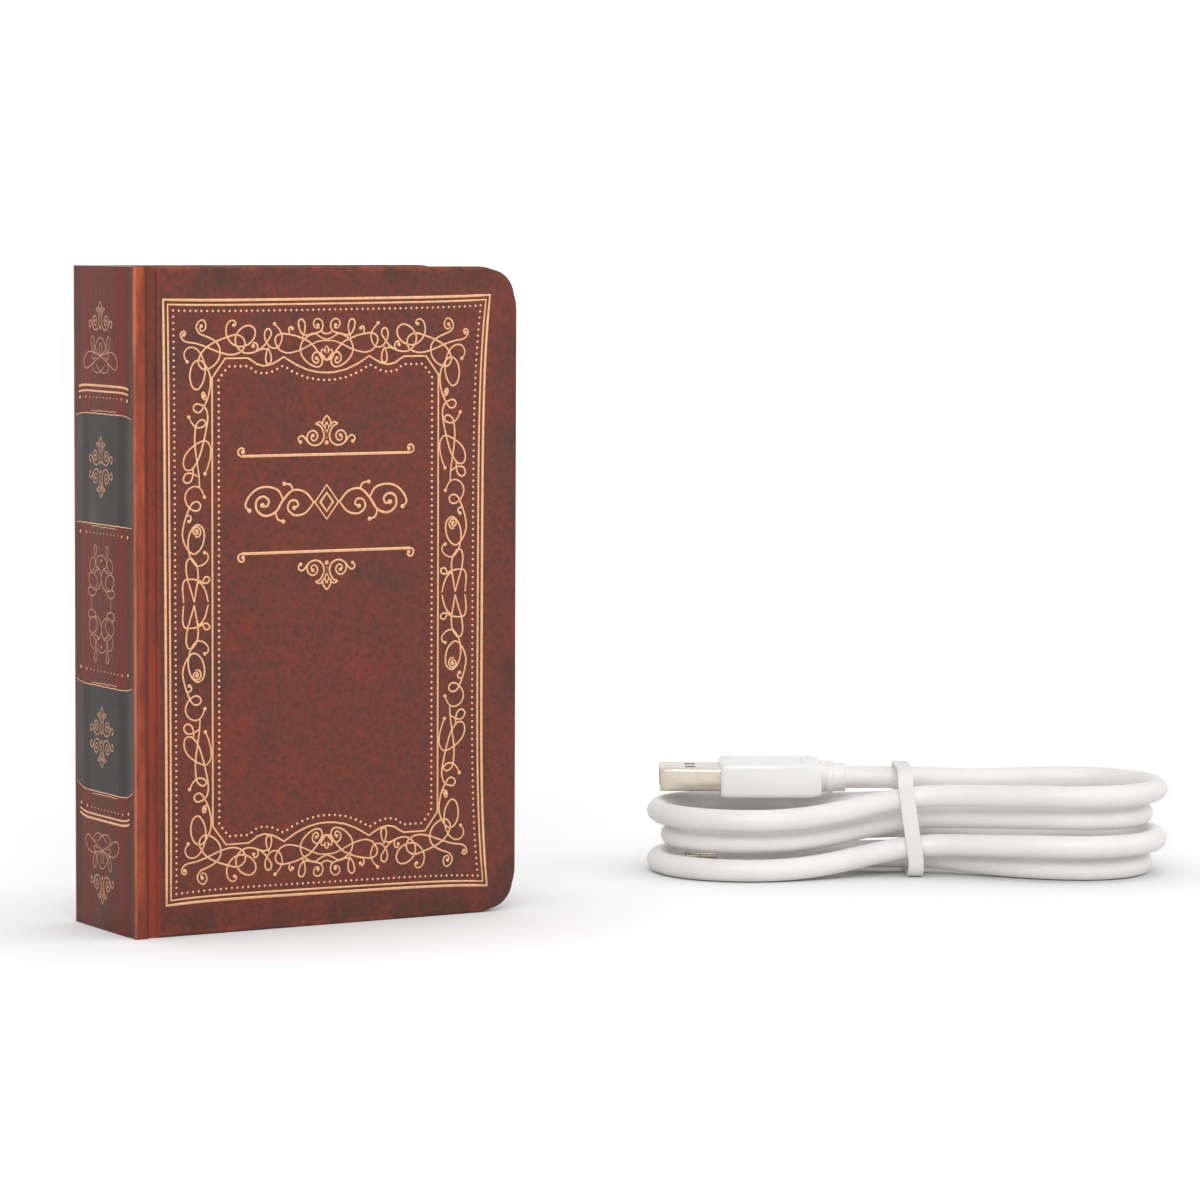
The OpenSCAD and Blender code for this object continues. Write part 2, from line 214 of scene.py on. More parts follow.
def finish_mesh(piece: Piece, angle: float = 40.0) -> Piece:
    """Turn all faces outwards and shade the soft edges smooth.

    Args:
        piece: A closed mesh.
        angle: Edges flatter than this many degrees are shaded smooth.

    Returns:
        The same piece.
    """
    take(piece)
    bpy.ops.object.mode_set(mode="EDIT")
    bpy.ops.mesh.select_all(action="SELECT")
    bpy.ops.mesh.normals_make_consistent(inside=False)
    bpy.ops.object.mode_set(mode="OBJECT")
    bpy.ops.object.shade_smooth_by_angle(angle=math.radians(angle))
    return piece


def add_box(name: str, low: Point3, high: Point3) -> Piece:
    """Add a block between two corners.

    Args:
        name: The new piece's name.
        low: Lowest corner, in metres.
        high: Highest corner, in metres.

    Returns:
        The block, with its object at the origin.
    """
    deselect_all()
    middle = [(a + b) / 2 for a, b in zip(low, high)]
    bpy.ops.mesh.primitive_cube_add(size=1, location=middle, scale=[b - a for a, b in zip(low, high)])
    piece = bpy.context.object
    piece.name = piece.data.name = name
    return settle(piece)


def add_modifier(piece: Piece, kind: str, **settings: object) -> None:
    """Add a modifier to a piece and apply it.

    Args:
        piece: The piece.
        kind: The modifier's type.
        **settings: Values of the modifier's properties.
    """
    take(piece)
    modifier = piece.modifiers.new(kind.title(), kind)
    for key, value in settings.items():
        setattr(modifier, key, value)
    bpy.ops.object.modifier_apply(modifier=modifier.name)


class Bench:
    """Edit-mode work on one piece, whose faces, edges and points are picked by their place."""

    def __init__(self, piece: Piece) -> None:
        """Take the piece to work on."""
        self.piece = piece

    def __enter__(self) -> Bench:
        """Enter edit mode with nothing selected."""
        take(self.piece)
        bpy.ops.object.mode_set(mode="EDIT")
        bpy.ops.mesh.select_all(action="DESELECT")
        return self

    def __exit__(self, *unused: object) -> None:
        """Leave edit mode."""
        bpy.ops.object.mode_set(mode="OBJECT")

    def _pick(self, kind: str, test: Callable[..., bool]) -> int:
        """Select the elements of one kind that pass a test, and nothing else."""
        bpy.ops.mesh.select_mode(type=kind)
        bpy.ops.mesh.select_all(action="DESELECT")
        mesh = bmesh.from_edit_mesh(self.piece.data)
        mesh.normal_update()
        found = [e for e in {"FACE": mesh.faces, "EDGE": mesh.edges, "VERT": mesh.verts}[kind] if test(e)]
        for element in found:
            element.select_set(True)
        mesh.select_flush_mode()
        bmesh.update_edit_mesh(self.piece.data)
        return len(found)

    def faces(self, test: Callable[[bmesh.types.BMFace], bool]) -> int:
        """Select the faces that pass a test, and return how many there are."""
        return self._pick("FACE", test)

    def edges(self, test: Callable[[Vector, Vector], bool]) -> int:
        """Select the edges whose two ends pass a test, and return how many there are."""
        return self._pick("EDGE", lambda e: test(e.verts[0].co, e.verts[1].co))

    def points(self, test: Callable[[Vector], bool]) -> int:
        """Select the points that pass a test, and return how many there are."""
        return self._pick("VERT", lambda v: test(v.co))

    def rims(self, axis: int) -> int:
        """Select the edges between faces that look along an axis and the others, and return their number."""
        return self._pick("EDGE", lambda e: len(e.link_faces) == 2 and (
            abs(e.link_faces[0].normal[axis]) > 0.6) != (abs(e.link_faces[1].normal[axis]) > 0.6))

    def facing(self, direction: Point3, also: Callable[[Vector], bool] = lambda c: True) -> int:
        """Select the faces that look one way.

        Args:
            direction: The way the faces look.
            also: A further test of a face's middle.

        Returns:
            The number of faces.
        """
        way = Vector(direction)
        return self.faces(lambda f: f.normal.dot(way) > 0.98 and also(f.calc_center_median()))

    def cut(self, at: Point3, normal: Point3) -> None:
        """Cut every face of the piece with a plane."""
        bpy.ops.mesh.select_all(action="SELECT")
        bpy.ops.mesh.bisect(plane_co=at, plane_no=normal)

    @staticmethod
    def bevel(offset: float, segments: int = 3, profile: float = 0.5) -> None:
        """Round the selected edges."""
        bpy.ops.mesh.bevel(offset=offset, segments=segments, profile=profile, affect="EDGES",
                           clamp_overlap=True)

    @staticmethod
    def extrude(by: Point3) -> None:
        """Pull the selected faces out by a step."""
        bpy.ops.mesh.extrude_region_move(TRANSFORM_OT_translate={"value": by})

    @staticmethod
    def move(by: Point3) -> None:
        """Move what is selected."""
        bpy.ops.transform.translate(value=by)

    @staticmethod
    def resize(by: Point3, about: Point3) -> None:
        """Scale what is selected about a point."""
        bpy.ops.transform.resize(value=by, center_override=about)


def near(a: float, b: float, within: float = 0.02 * MM) -> bool:
    """Whether two places are the same to a small tolerance."""
    return abs(a - b) < within


def smooth_line(points: Sequence[Sequence[float]], per_span: int = 5, closed: bool = False) -> list[Vector]:
    """Draw a smooth line through points.

    Args:
        points: Points that the line passes through.
        per_span: Steps between two points.
        closed: Whether the line ends where it starts.

    Returns:
        The points of the line.
    """
    knots = [Vector((*p, 0.0)) if len(p) == 2 else Vector(p) for p in points]
    if closed:
        knots = [knots[-1], *knots, knots[0], knots[1]]
    else:
        knots = [2 * knots[0] - knots[1], *knots, 2 * knots[-1] - knots[-2]]
    line: list[Vector] = []
    for a, b, c, d in zip(knots, knots[1:], knots[2:], knots[3:]):
        ab, bc, cd = (max((q - p).length, 1e-9) ** 0.5 for p, q in ((a, b), (b, c), (c, d)))
        m1 = (c - b) + bc * ((b - a) / ab - (c - a) / (ab + bc))
        m2 = (c - b) + bc * ((d - c) / cd - (d - b) / (bc + cd))
        for step in range(per_span):
            t = step / per_span
            line.append((2 * t**3 - 3 * t**2 + 1) * b + (t**3 - 2 * t**2 + t) * m1
                        + (3 * t**2 - 2 * t**3) * c + (t**3 - t**2) * m2)
    if not closed:
        line.append(knots[-2])
    return line


# --- Finishes ---


def srgb(red: float, green: float, blue: float) -> Colour:
    """Turn a colour as seen, from 0 to 255, into linear light."""

    def linear(value: float) -> float:
        """Linear light of one channel."""
        share = value / 255
        return share / 12.92 if share <= 0.04045 else ((share + 0.055) / 1.055) ** 2.4

    return linear(red), linear(green), linear(blue)


class Recipe:
    """The node tree of one material, with short calls that add and join its nodes."""

    def __init__(self, name: str) -> None:
        """Start a material with its principled shader."""
        self.material = bpy.data.materials.new(name)
        self.material.use_nodes = True
        self.nodes = self.material.node_tree.nodes
        self.links = self.material.node_tree.links
        self.shader = next(n for n in self.nodes if n.type == "BSDF_PRINCIPLED")
        self.output = next(n for n in self.nodes if n.type == "OUTPUT_MATERIAL")

    def add(self, kind: str, inputs: dict[str, object] | None = None, **settings: object) -> bpy.types.Node:
        """Add a node.

        Args:
            kind: The node's type.
            inputs: A value or an output for each named input.
            **settings: Values of the node's properties.

        Returns:
            The node.
        """
        node = self.nodes.new(kind)
        for key, value in settings.items():
            setattr(node, key, value)
        for key, value in (inputs or {}).items():
            self.join(value, node.inputs[key])
        return node

    def join(self, value: object, socket: Socket) -> None:
        """Link an output to an input, or set the input's value."""
        if isinstance(value, Socket):
            self.links.new(value, socket)
        else:
            socket.default_value = (*value, 1.0) if socket.type == "RGBA" and len(value) == 3 else value

    def set(self, **values: object) -> None:
        """Set or link inputs of the principled shader, named with underscores for spaces."""
        for key, value in values.items():
            self.join(value, self.shader.inputs[key.replace("_", " ")])

    def place(self, stretch: Point3 = (1, 1, 1)) -> Socket:
        """The point of the piece in metres, stretched along its axes."""
        coords = self.add("ShaderNodeTexCoord").outputs["Object"]
        if stretch == (1, 1, 1):
            return coords
        return self.add("ShaderNodeMapping", {"Vector": coords, "Scale": stretch}).outputs["Vector"]

    def noise(self, scale: float, detail: float = 3.0, roughness: float = 0.55, at: Socket | None = None,
              distortion: float = 0.0) -> Socket:
        """Soft noise from 0 to 1 with so many waves a metre."""
        return self.add("ShaderNodeTexNoise", {
            "Vector": at or self.place(), "Scale": scale, "Detail": detail, "Roughness": roughness,
            "Distortion": distortion}).outputs["Fac"]

    def cells(self, scale: float, at: Socket | None = None, feature: str = "F1") -> Socket:
        """Distance within small irregular cells, so many a metre."""
        return self.add("ShaderNodeTexVoronoi", {"Vector": at or self.place(), "Scale": scale},
                        feature=feature).outputs["Distance"]

    def band(self, value: object, low: float, high: float, to: Point2 = (0.0, 1.0)) -> Socket:
        """Map a value smoothly from a range to another."""
        return self.add("ShaderNodeMapRange", {
            "Value": value, "From Min": low, "From Max": high, "To Min": to[0], "To Max": to[1]},
            interpolation_type="SMOOTHSTEP").outputs["Result"]

    def math(self, operation: str, a: object, b: object = 0.0) -> Socket:
        """One sum of two values."""
        node = self.add("ShaderNodeMath", operation=operation)
        self.join(a, node.inputs[0])
        self.join(b, node.inputs[1])
        return node.outputs[0]

    def blend(self, share: object, first: object, second: object, mode: str = "MIX") -> Socket:
        """Mix two colours."""
        node = self.add("ShaderNodeMix", data_type="RGBA", blend_type=mode)
        self.join(share, node.inputs[0])
        self.join(first, node.inputs[6])
        self.join(second, node.inputs[7])
        return node.outputs[2]

    def ramp(self, value: Socket, stops: Sequence[tuple[float, Colour]]) -> Socket:
        """A colour for each value, between stops."""
        node = self.add("ShaderNodeValToRGB", {"Fac": value})
        ramp = node.color_ramp
        while len(ramp.elements) < len(stops):
            ramp.elements.new(0.5)
        for element, (position, colour) in zip(ramp.elements, stops):
            element.position = position
            element.color = (*colour, 1.0)
        return node.outputs["Color"]

    def axes(self) -> tuple[Socket, Socket, Socket]:
        """The three parts of the piece's own point."""
        split = self.add("ShaderNodeSeparateXYZ", {"Vector": self.place()})
        return split.outputs[0], split.outputs[1], split.outputs[2]

    def relief(self, *layers: tuple[Socket, float]) -> None:
        """Raise the surface by layers of height, each with its depth in millimetres."""
        normal: Socket | None = None
        for height, depth in layers:
            inputs: dict[str, object] = {"Height": height, "Distance": depth * MM, "Strength": 1.0}
            if normal is not None:
                inputs["Normal"] = normal
            normal = self.add("ShaderNodeBump", inputs).outputs["Normal"]
        if normal is not None:
            self.join(normal, self.shader.inputs["Normal"])


@dataclass(frozen=True)
class Leather:
    """Mottled brown leather with soft dark clouds, red patches, fine speckles and worn joints; the joints
    also carry painted shade and a painted highlight, and the covers' grooves painted light.
    """

    name: str = "mottled_leather"
    ground: Colour = srgb(114, 57, 45)
    cloud: Colour = srgb(72, 52, 45)
    patch: Colour = srgb(140, 58, 40)
    worn: Colour = srgb(190, 86, 46)
    shade: Colour = srgb(92, 44, 36)
    label: Colour = srgb(60, 57, 55)
    spine: bool = False

    def make(self) -> bpy.types.Material:
        """Build the material.

        Returns:
            The material, which reads the piece's own coordinates.
        """
        r = Recipe(self.name)
        clouds = r.band(r.noise(62, 6, 0.62, r.place((1.0, 1.0, 0.85)), 0.4), 0.5, 0.74)
        patches = r.band(r.noise(80, 5, 0.62, r.place((1.0, 1.0, 0.9)), 0.3), 0.46, 0.74)
        mottle = r.noise(300, 3, 0.65)
        speckle = r.noise(1050, 2, 0.6)
        grain = r.noise(1800, 1, 0.5)
        colour = r.blend(r.math("MULTIPLY", patches, 0.6), self.ground, self.patch)
        colour = r.blend(r.math("MULTIPLY", clouds, 0.72), colour, self.cloud)
        for layer, low, high, share, hue in (
                (mottle, 0.5, 0.72, 0.28, self.cloud), (mottle, 0.5, 0.3, 0.3, self.patch),
                (speckle, 0.48, 0.68, 0.55, self.cloud), (speckle, 0.46, 0.28, 0.42, self.patch),
                (grain, 0.4, 0.7, 0.25, srgb(60, 44, 40))):
            colour = r.blend(r.band(layer, low, high, (0.0, share)), colour, hue)
        rough = r.band(clouds, 0, 1, (0.6, 0.5))
        if self.spine:
            colour = self._sides(r, colour)
            colour = self._labels(r, colour)
            colour = self._joints(r, colour)
        else:
            colour = self._edges(r, colour)
        r.set(Base_Color=colour, Roughness=rough, Specular_IOR_Level=0.28)
        pores = r.cells(1700)
        creases = r.cells(620, r.place((1.0, 1.0, 0.7)), "DISTANCE_TO_EDGE")
        r.relief((pores, 0.02), (r.band(creases, 0, 0.12), 0.03), (speckle, 0.035), (r.noise(160, 3), 0.12))
        return r.material

    def _edges(self, r: Recipe, colour: Socket) -> Socket:
        """Darken a cover's outline in places, wear its very edge, and redden its groove towards the foot with
        red wear that is also painted light, lightening the groove's shadow.
        """
        x, _, z = r.axes()
        foot = r.band(z, 0.0, 9 * MM, (1.0, 0.0))
        head = r.band(z, (BOOK.height - 9) * MM, BOOK.height * MM)
        fore = r.band(x, BOOK.x(BOOK.width - 7), BOOK.x(BOOK.width))
        hinge = r.math("MULTIPLY", r.band(x, BOOK.x(BOOK.cover_x + 0.3), BOOK.x(BOOK.cover_x + 1.0)),
                       r.band(x, BOOK.x(BOOK.cover_x + 1.6), BOOK.x(BOOK.cover_x + 4.4), (1.0, 0.0)))
        rim = r.math("MAXIMUM", r.math("MAXIMUM", r.math("MAXIMUM", foot, head), fore), hinge)
        soot = r.math("MULTIPLY", rim, r.band(r.noise(75, 4, 0.6), 0.42, 0.6, (0.0, 0.72)))
        colour = r.blend(soot, colour, srgb(66, 48, 42))
        spots = r.math("MULTIPLY", rim, r.band(r.noise(150, 4, 0.7), 0.56, 0.7, (0.0, 0.6)))
        colour = r.blend(spots, colour, self.patch)
        edge = r.math("MAXIMUM", r.band(z, 0.0, 1.3 * MM, (1.0, 0.0)),
                      r.band(z, (BOOK.height - 1.3) * MM, BOOK.height * MM))
        wear = r.math("MULTIPLY", edge, r.band(r.noise(420, 3, 0.7), 0.42, 0.62, (0.0, 0.35)))
        colour = r.blend(wear, colour, self.worn)
        # Red wear in the groove and on the cover's rounded edge beside it, also painted light: its lighter
        # colour softens the groove's shadow.
        groove_wear_and_painted_light = r.band(x, BOOK.x(BOOK.cover_x + 0.2), BOOK.x(BOOK.cover_x + 0.8), (1.0, 0.0))
        streaks = r.band(r.noise(120, 4, 0.65, r.place((1, 1, 0.4))), 0.3, 0.62, (0.25, 1.0))
        groove = r.math("MULTIPLY", groove_wear_and_painted_light, streaks)
        groove = r.math("MULTIPLY", groove, r.band(z, 40 * MM, 112 * MM, (0.95, 0.35)))
        return r.blend(groove, colour, srgb(150, 64, 44))

    def _sides(self, r: Recipe, colour: Socket) -> Socket:
        """Redden the spine towards its sides, and darken it beside the joints."""
        _, y, _ = r.axes()
        across = r.math("ABSOLUTE", y)
        red = r.math("MULTIPLY", r.band(across, 4.8 * MM, 6.4 * MM),
                     r.band(across, 8.4 * MM, 10.4 * MM, (0.65, 0.1)))
        colour = r.blend(red, colour, srgb(122, 44, 32))
        dark = r.math("MULTIPLY", r.band(across, 8.8 * MM, 10.2 * MM, (0.0, 0.6)), r.band(
            r.noise(140, 4, 0.6, r.place((1, 1, 0.35))), 0.3, 0.6, (0.5, 1.0)))
        return r.blend(dark, colour, srgb(88, 62, 56))

    def _joints(self, r: Recipe, colour: Socket) -> Socket:
        """Wear the rolled joints orange in streaks, brightest near the head; paint shade into the crease on
        the inner side of each bead, and a pale line along the corner that is wear and painted highlight.
        """
        x, y, z = r.axes()
        across = r.math("ABSOLUTE", y)
        bead = r.band(across, 12.1 * MM, 12.5 * MM)
        streaks = r.band(r.noise(260, 5, 0.72, r.place((2.4, 1, 0.16))), 0.34, 0.64)
        blotch = r.band(r.noise(85, 4, 0.65, r.place((1, 1, 0.5))), 0.42, 0.62, (1.0, 0.35))
        height = r.math("MULTIPLY", r.band(z, 55 * MM, 112 * MM, (0.6, 1.0)), blotch)
        wear = r.math("MULTIPLY", bead, r.math("MULTIPLY", r.band(streaks, 0, 1, (0.35, 1.0)), height))
        colour = r.blend(bead, colour, srgb(108, 48, 37))
        colour = r.blend(wear, colour, self.worn)
        # Painted shade: a dark line in the crease on the inner side of the bead, where it meets the flap.
        inner = r.math("MULTIPLY", bead, r.band(x, BOOK.x(1.75), BOOK.x(2.3), (0.0, 0.8)))
        colour = r.blend(inner, colour, srgb(84, 42, 36))
        # Worn leather with a painted highlight: a pale, streaked line along the rounded corner between the
        # spine's face and the joint.
        corner = r.math("MULTIPLY", r.band(across, 12.4 * MM, 12.75 * MM),
                        r.band(x, BOOK.x(0.5), BOOK.x(0.15)))
        corner = r.math("MULTIPLY", corner, r.band(streaks, 0.0, 1.0, (0.2, 0.75)))
        return r.blend(corner, colour, srgb(190, 124, 100))

    def _labels(self, r: Recipe, colour: Socket) -> Socket:
        """Lay two charcoal labels across the spine, arched a little towards its middle."""
        _, y, z = r.axes()
        across = r.math("ABSOLUTE", y)
        reach = r.add("ShaderNodeMapRange", {
            "Value": across, "From Min": ARCH.start * MM, "From Max": ARCH.end * MM}).outputs["Result"]
        drawn = r.math("MULTIPLY", r.math("POWER", reach, ARCH.power), ARCH.share)
        height = r.math("SUBTRACT", z, r.math("MULTIPLY", r.math("SUBTRACT", ARCH.centre_z * MM, z), drawn))
        wave = r.math("MULTIPLY", r.math("SUBTRACT", r.noise(420, 2, 0.5, r.place((0, 1, 0))), 0.5), 0.5 * MM)
        height = r.math("ADD", height, wave)
        on_face = r.band(across, 12.1 * MM, 12.3 * MM, (1.0, 0.0))
        cloth = r.blend(r.noise(500, 3, 0.6), self.label, srgb(80, 76, 73))
        side = r.math("MULTIPLY", r.band(across, 5.2 * MM, 7.0 * MM),
                      r.band(across, 8.2 * MM, 9.6 * MM, (1.0, 0.0)))
        cloth = r.blend(r.math("MULTIPLY", side, 0.7), cloth, srgb(58, 44, 42))
        cloth = r.blend(r.band(across, 9.4 * MM, 10.4 * MM, (0.0, 0.5)), cloth, srgb(104, 92, 84))
        for low, high in SPINE_LABELS:
            inside = r.math("MULTIPLY", r.band(height, (low - 0.05) * MM, (low + 0.05) * MM),
                            r.band(height, (high - 0.05) * MM, (high + 0.05) * MM, (1.0, 0.0)))
            colour = r.blend(r.math("MULTIPLY", inside, on_face), colour, cloth)
        return colour


@dataclass(frozen=True)
class Metal:
    """Bare, plated or gilded metal with fine scratches."""

    name: str
    colour: Colour
    dark: Colour
    roughness: float = 0.3
    metallic: float = 1.0
    grain: float = 900.0

    def make(self) -> bpy.types.Material:
        """Build the material."""
        r = Recipe(self.name)
        spots = r.noise(self.grain, 3, 0.6)
        r.set(Base_Color=r.blend(r.band(spots, 0.4, 0.75, (0.0, 0.6)), self.colour, self.dark),
              Metallic=self.metallic,
              Roughness=r.band(spots, 0.3, 0.7, (self.roughness * 0.85, self.roughness * 1.3)))
        r.relief((r.noise(self.grain * 3, 2), 0.004))
        return r.material


@dataclass(frozen=True)
class Plastic:
    """Moulded or drawn plastic with a fine spark-eroded texture and slight toning."""

    name: str
    colour: Colour
    tone: Colour
    roughness: float = 0.4
    grain: float = 2200.0
    depth: float = 0.006
    subsurface: float = 0.0

    def make(self) -> bpy.types.Material:
        """Build the material."""
        r = Recipe(self.name)
        tone = r.band(r.noise(90, 3, 0.6), 0.35, 0.7)
        fine = r.noise(self.grain, 2, 0.5)
        r.set(Base_Color=r.blend(tone, self.colour, self.tone), Specular_IOR_Level=0.4,
              Roughness=r.band(fine, 0.3, 0.7, (self.roughness * 0.9, self.roughness * 1.15)))
        if self.subsurface:
            r.set(Subsurface_Weight=self.subsurface, Subsurface_Scale=2 * MM)
        r.relief((fine, self.depth))
        return r.material


@dataclass(frozen=True)
class Board:
    """Greyboard, lining paper or tape: pressed fibres with specks."""

    name: str
    colour: Colour
    fibre: Colour
    speck: Colour
    roughness: float = 0.85

    def make(self) -> bpy.types.Material:
        """Build the material."""
        r = Recipe(self.name)
        fibres = r.noise(700, 4, 0.7, r.place((0.35, 1.0, 1.0)), 0.4)
        specks = r.band(r.cells(420), 0.05, 0.12, (1.0, 0.0))
        colour = r.blend(r.band(fibres, 0.35, 0.7), self.colour, self.fibre)
        r.set(Base_Color=r.blend(r.math("MULTIPLY", specks, 0.5), colour, self.speck),
              Roughness=self.roughness, Specular_IOR_Level=0.2)
        r.relief((fibres, 0.02))
        return r.material


@dataclass(frozen=True)
class Glow:
    """A warm plastic or chip that shines."""

    name: str
    colour: Colour
    shine: Colour
    strength: float
    roughness: float = 0.35

    def make(self) -> bpy.types.Material:
        """Build the material."""
        r = Recipe(self.name)
        haze = r.noise(240, 2, 0.5)
        r.set(Base_Color=r.blend(r.band(haze, 0.3, 0.7, (0.0, 0.4)), self.colour, self.shine),
              Roughness=self.roughness,
              Emission_Color=r.blend(r.band(haze, 0.3, 0.7, (0.0, 0.5)), self.shine, self.colour),
              Emission_Strength=self.strength)
        r.relief((r.noise(1300, 2), 0.008))
        return r.material


@dataclass(frozen=True)
class PaintedGlowPleatPaper:
    """White translucent paper with the bar's light painted in, in its colour and as emission: a painted glow
    that is orange, then yellow, and painted grey-white shade at the ridges.
    """

    name: str = "pleat_paper_painted_glow"
    paper: Colour = srgb(240, 236, 230)
    glow: tuple[tuple[float, Colour], ...] = (
        (0.0, srgb(255, 182, 88)), (0.07, srgb(255, 214, 130)), (0.22, srgb(255, 240, 164)),
        (0.6, srgb(255, 249, 188)), (0.82, srgb(255, 232, 192)), (1.0, srgb(242, 216, 200)))
    strength: float = 0.62

    def make(self) -> bpy.types.Material:
        """Build the material, which reads the shares along and across the pleat from the UV map."""
        r = Recipe(self.name)
        shares = r.add("ShaderNodeUVMap", uv_map="pleat").outputs["UV"]
        split = r.add("ShaderNodeSeparateXYZ", {"Vector": shares})
        along, across = split.outputs[0], split.outputs[1]
        # Painted light: the colour of the bar's glow through the paper, orange near the bar, then yellow,
        # then peach towards the tips, paler peach towards the ridges and a deeper peach line in the valleys.
        warm = r.ramp(along, self.glow)
        shade = r.blend(r.band(across, 0.5, 1.0, (0.0, 0.6)), warm, srgb(255, 226, 200))
        shade = r.blend(r.band(across, 0.0, 0.12, (0.5, 0.0)), shade, srgb(240, 190, 150))
        # Share of the painted glow: full in the valleys and near the bar, less towards the ridges and the
        # outer end.
        through = r.math("MAXIMUM", r.band(across, 0.4, 0.97, (1.0, 0.12)),
                         r.band(along, 0.1, 0.5, (0.2, 0.0)))
        painted_glow_share = r.math("MULTIPLY", r.band(along, 0.6, 1.0, (1.0, 0.5)), through)
        stretched = r.add("ShaderNodeMapping", {"Vector": shares, "Scale": (9.0, 3.0, 1.0)}).outputs[0]
        fibre = r.noise(5, 3, 0.6, stretched)
        paper = r.blend(r.band(fibre, 0.35, 0.7, (0.0, 0.3)), self.paper, srgb(228, 221, 212))
        paper = r.blend(painted_glow_share, paper, shade)
        # Painted shade: a thin grey line along each ridge, stronger away from the bar.
        painted_ridge_shade = r.math("MULTIPLY", r.band(across, 0.94, 1.0, (0.0, 0.7)),
                        r.band(along, 0.15, 0.5, (0.5, 1.0)))
        paper = r.blend(painted_ridge_shade, paper, srgb(226, 219, 219))
        # The painted glow tints the base colour and shines as emission.
        r.set(Base_Color=paper, Roughness=0.8, Specular_IOR_Level=0.2, Emission_Color=shade,
              Emission_Strength=r.math("MULTIPLY", painted_glow_share, self.strength))
        return r.material


class FinishList(Enum):
    """A list of finishes, each of which is built once."""

    @property
    def material(self) -> bpy.types.Material:
        """The built material, made once."""
        made = bpy.data.materials.get(self.value.name)
        return made or self.value.make()


class Finish(FinishList):
    """Every finish, keyed by the material slot of the record that it dresses."""

    leather = Leather()
    greyboard = Board("greyboard", srgb(140, 136, 128), srgb(112, 108, 100), srgb(80, 76, 70))
    lining = Board("lining_paper", srgb(236, 231, 220), srgb(224, 217, 203), srgb(206, 197, 180))
    pleat_paper = PaintedGlowPleatPaper()
    tape = Board("adhesive_tape", srgb(236, 234, 228), srgb(220, 216, 208), srgb(200, 196, 188), 0.5)
    bar_plastic = Plastic("cream_plastic", srgb(236, 224, 200), srgb(226, 210, 182), 0.42, subsurface=0.1)
    diffuser = Glow("amber_diffuser", srgb(255, 178, 80), srgb(255, 205, 110), 0.75)
    cell_foil = Metal("cell_foil", srgb(196, 198, 202), srgb(150, 152, 158), 0.35)
    wire = Plastic("wire_sleeve", srgb(170, 30, 26), srgb(140, 22, 20), 0.45)
    circuit_board = Plastic("circuit_board", srgb(214, 222, 216), srgb(190, 204, 194), 0.4)
    chip = Plastic("chip_resin", srgb(34, 34, 36), srgb(22, 22, 24), 0.5)
    charge_light = Glow("charge_light", srgb(220, 40, 30), srgb(255, 90, 70), 0.3)
    pin_brass = Metal("pin_brass", srgb(224, 186, 104), srgb(190, 148, 78), 0.25)
    port_steel = Metal("port_steel", srgb(200, 200, 204), srgb(164, 164, 170), 0.28)
    led = Glow("light_chip", srgb(255, 214, 120), srgb(255, 190, 90), 1.0)
    magnet = Metal("magnet_plating", srgb(190, 192, 196), srgb(150, 152, 158), 0.2)
    cable_pvc = Plastic("cable_vinyl", srgb(248, 246, 243), srgb(243, 240, 237), 0.36, 1400.0, 0.01, 0.08)
    tie = Plastic("tie_vinyl", srgb(244, 242, 238), srgb(236, 234, 229), 0.5, 1800.0, 0.01)
    plug_metal = Metal("plug_shell_steel", srgb(214, 204, 188), srgb(196, 184, 166), 0.22, grain=420.0)
    plug_plastic = Plastic("plug_plastic", srgb(243, 240, 233), srgb(236, 232, 222), 0.4, 1600.0, 0.008, 0.06)


class ExtraFinish(FinishList):
    """Finishes that only new pieces have."""

    spine_leather = Leather("mottled_spine_leather", spine=True)
    gold = Metal("gold_leaf", srgb(237, 184, 139), srgb(208, 146, 101), 0.42, 0.55, 1400.0)
    worn_gold = Metal("worn_gold_leaf", srgb(212, 157, 121), srgb(152, 101, 82), 0.5, 0.4, 1500.0)


def dress(piece: Piece, finish: FinishList) -> Piece:
    """Give a new piece its finish, as its only material.

    Args:
        piece: The piece.
        finish: Its finish.

    Returns:
        The same piece.
    """
    piece.data.materials.clear()
    piece.data.materials.append(finish.material)
    return piece


def hang(piece: Piece, body: str, *nodes: str) -> Piece:
    """Let a piece ride on a body, and hide the solids that it stands for.

    Args:
        piece: The piece, in place.
        body: The body that it moves with.
        *nodes: Nodes that it replaces.

    Returns:
        The same piece.
    """
    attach(piece, body)
    if nodes:
        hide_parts(*nodes)
    LOG.info("%s rides on %s", piece.name, body)
    return piece


# --- Camera, light and table ---


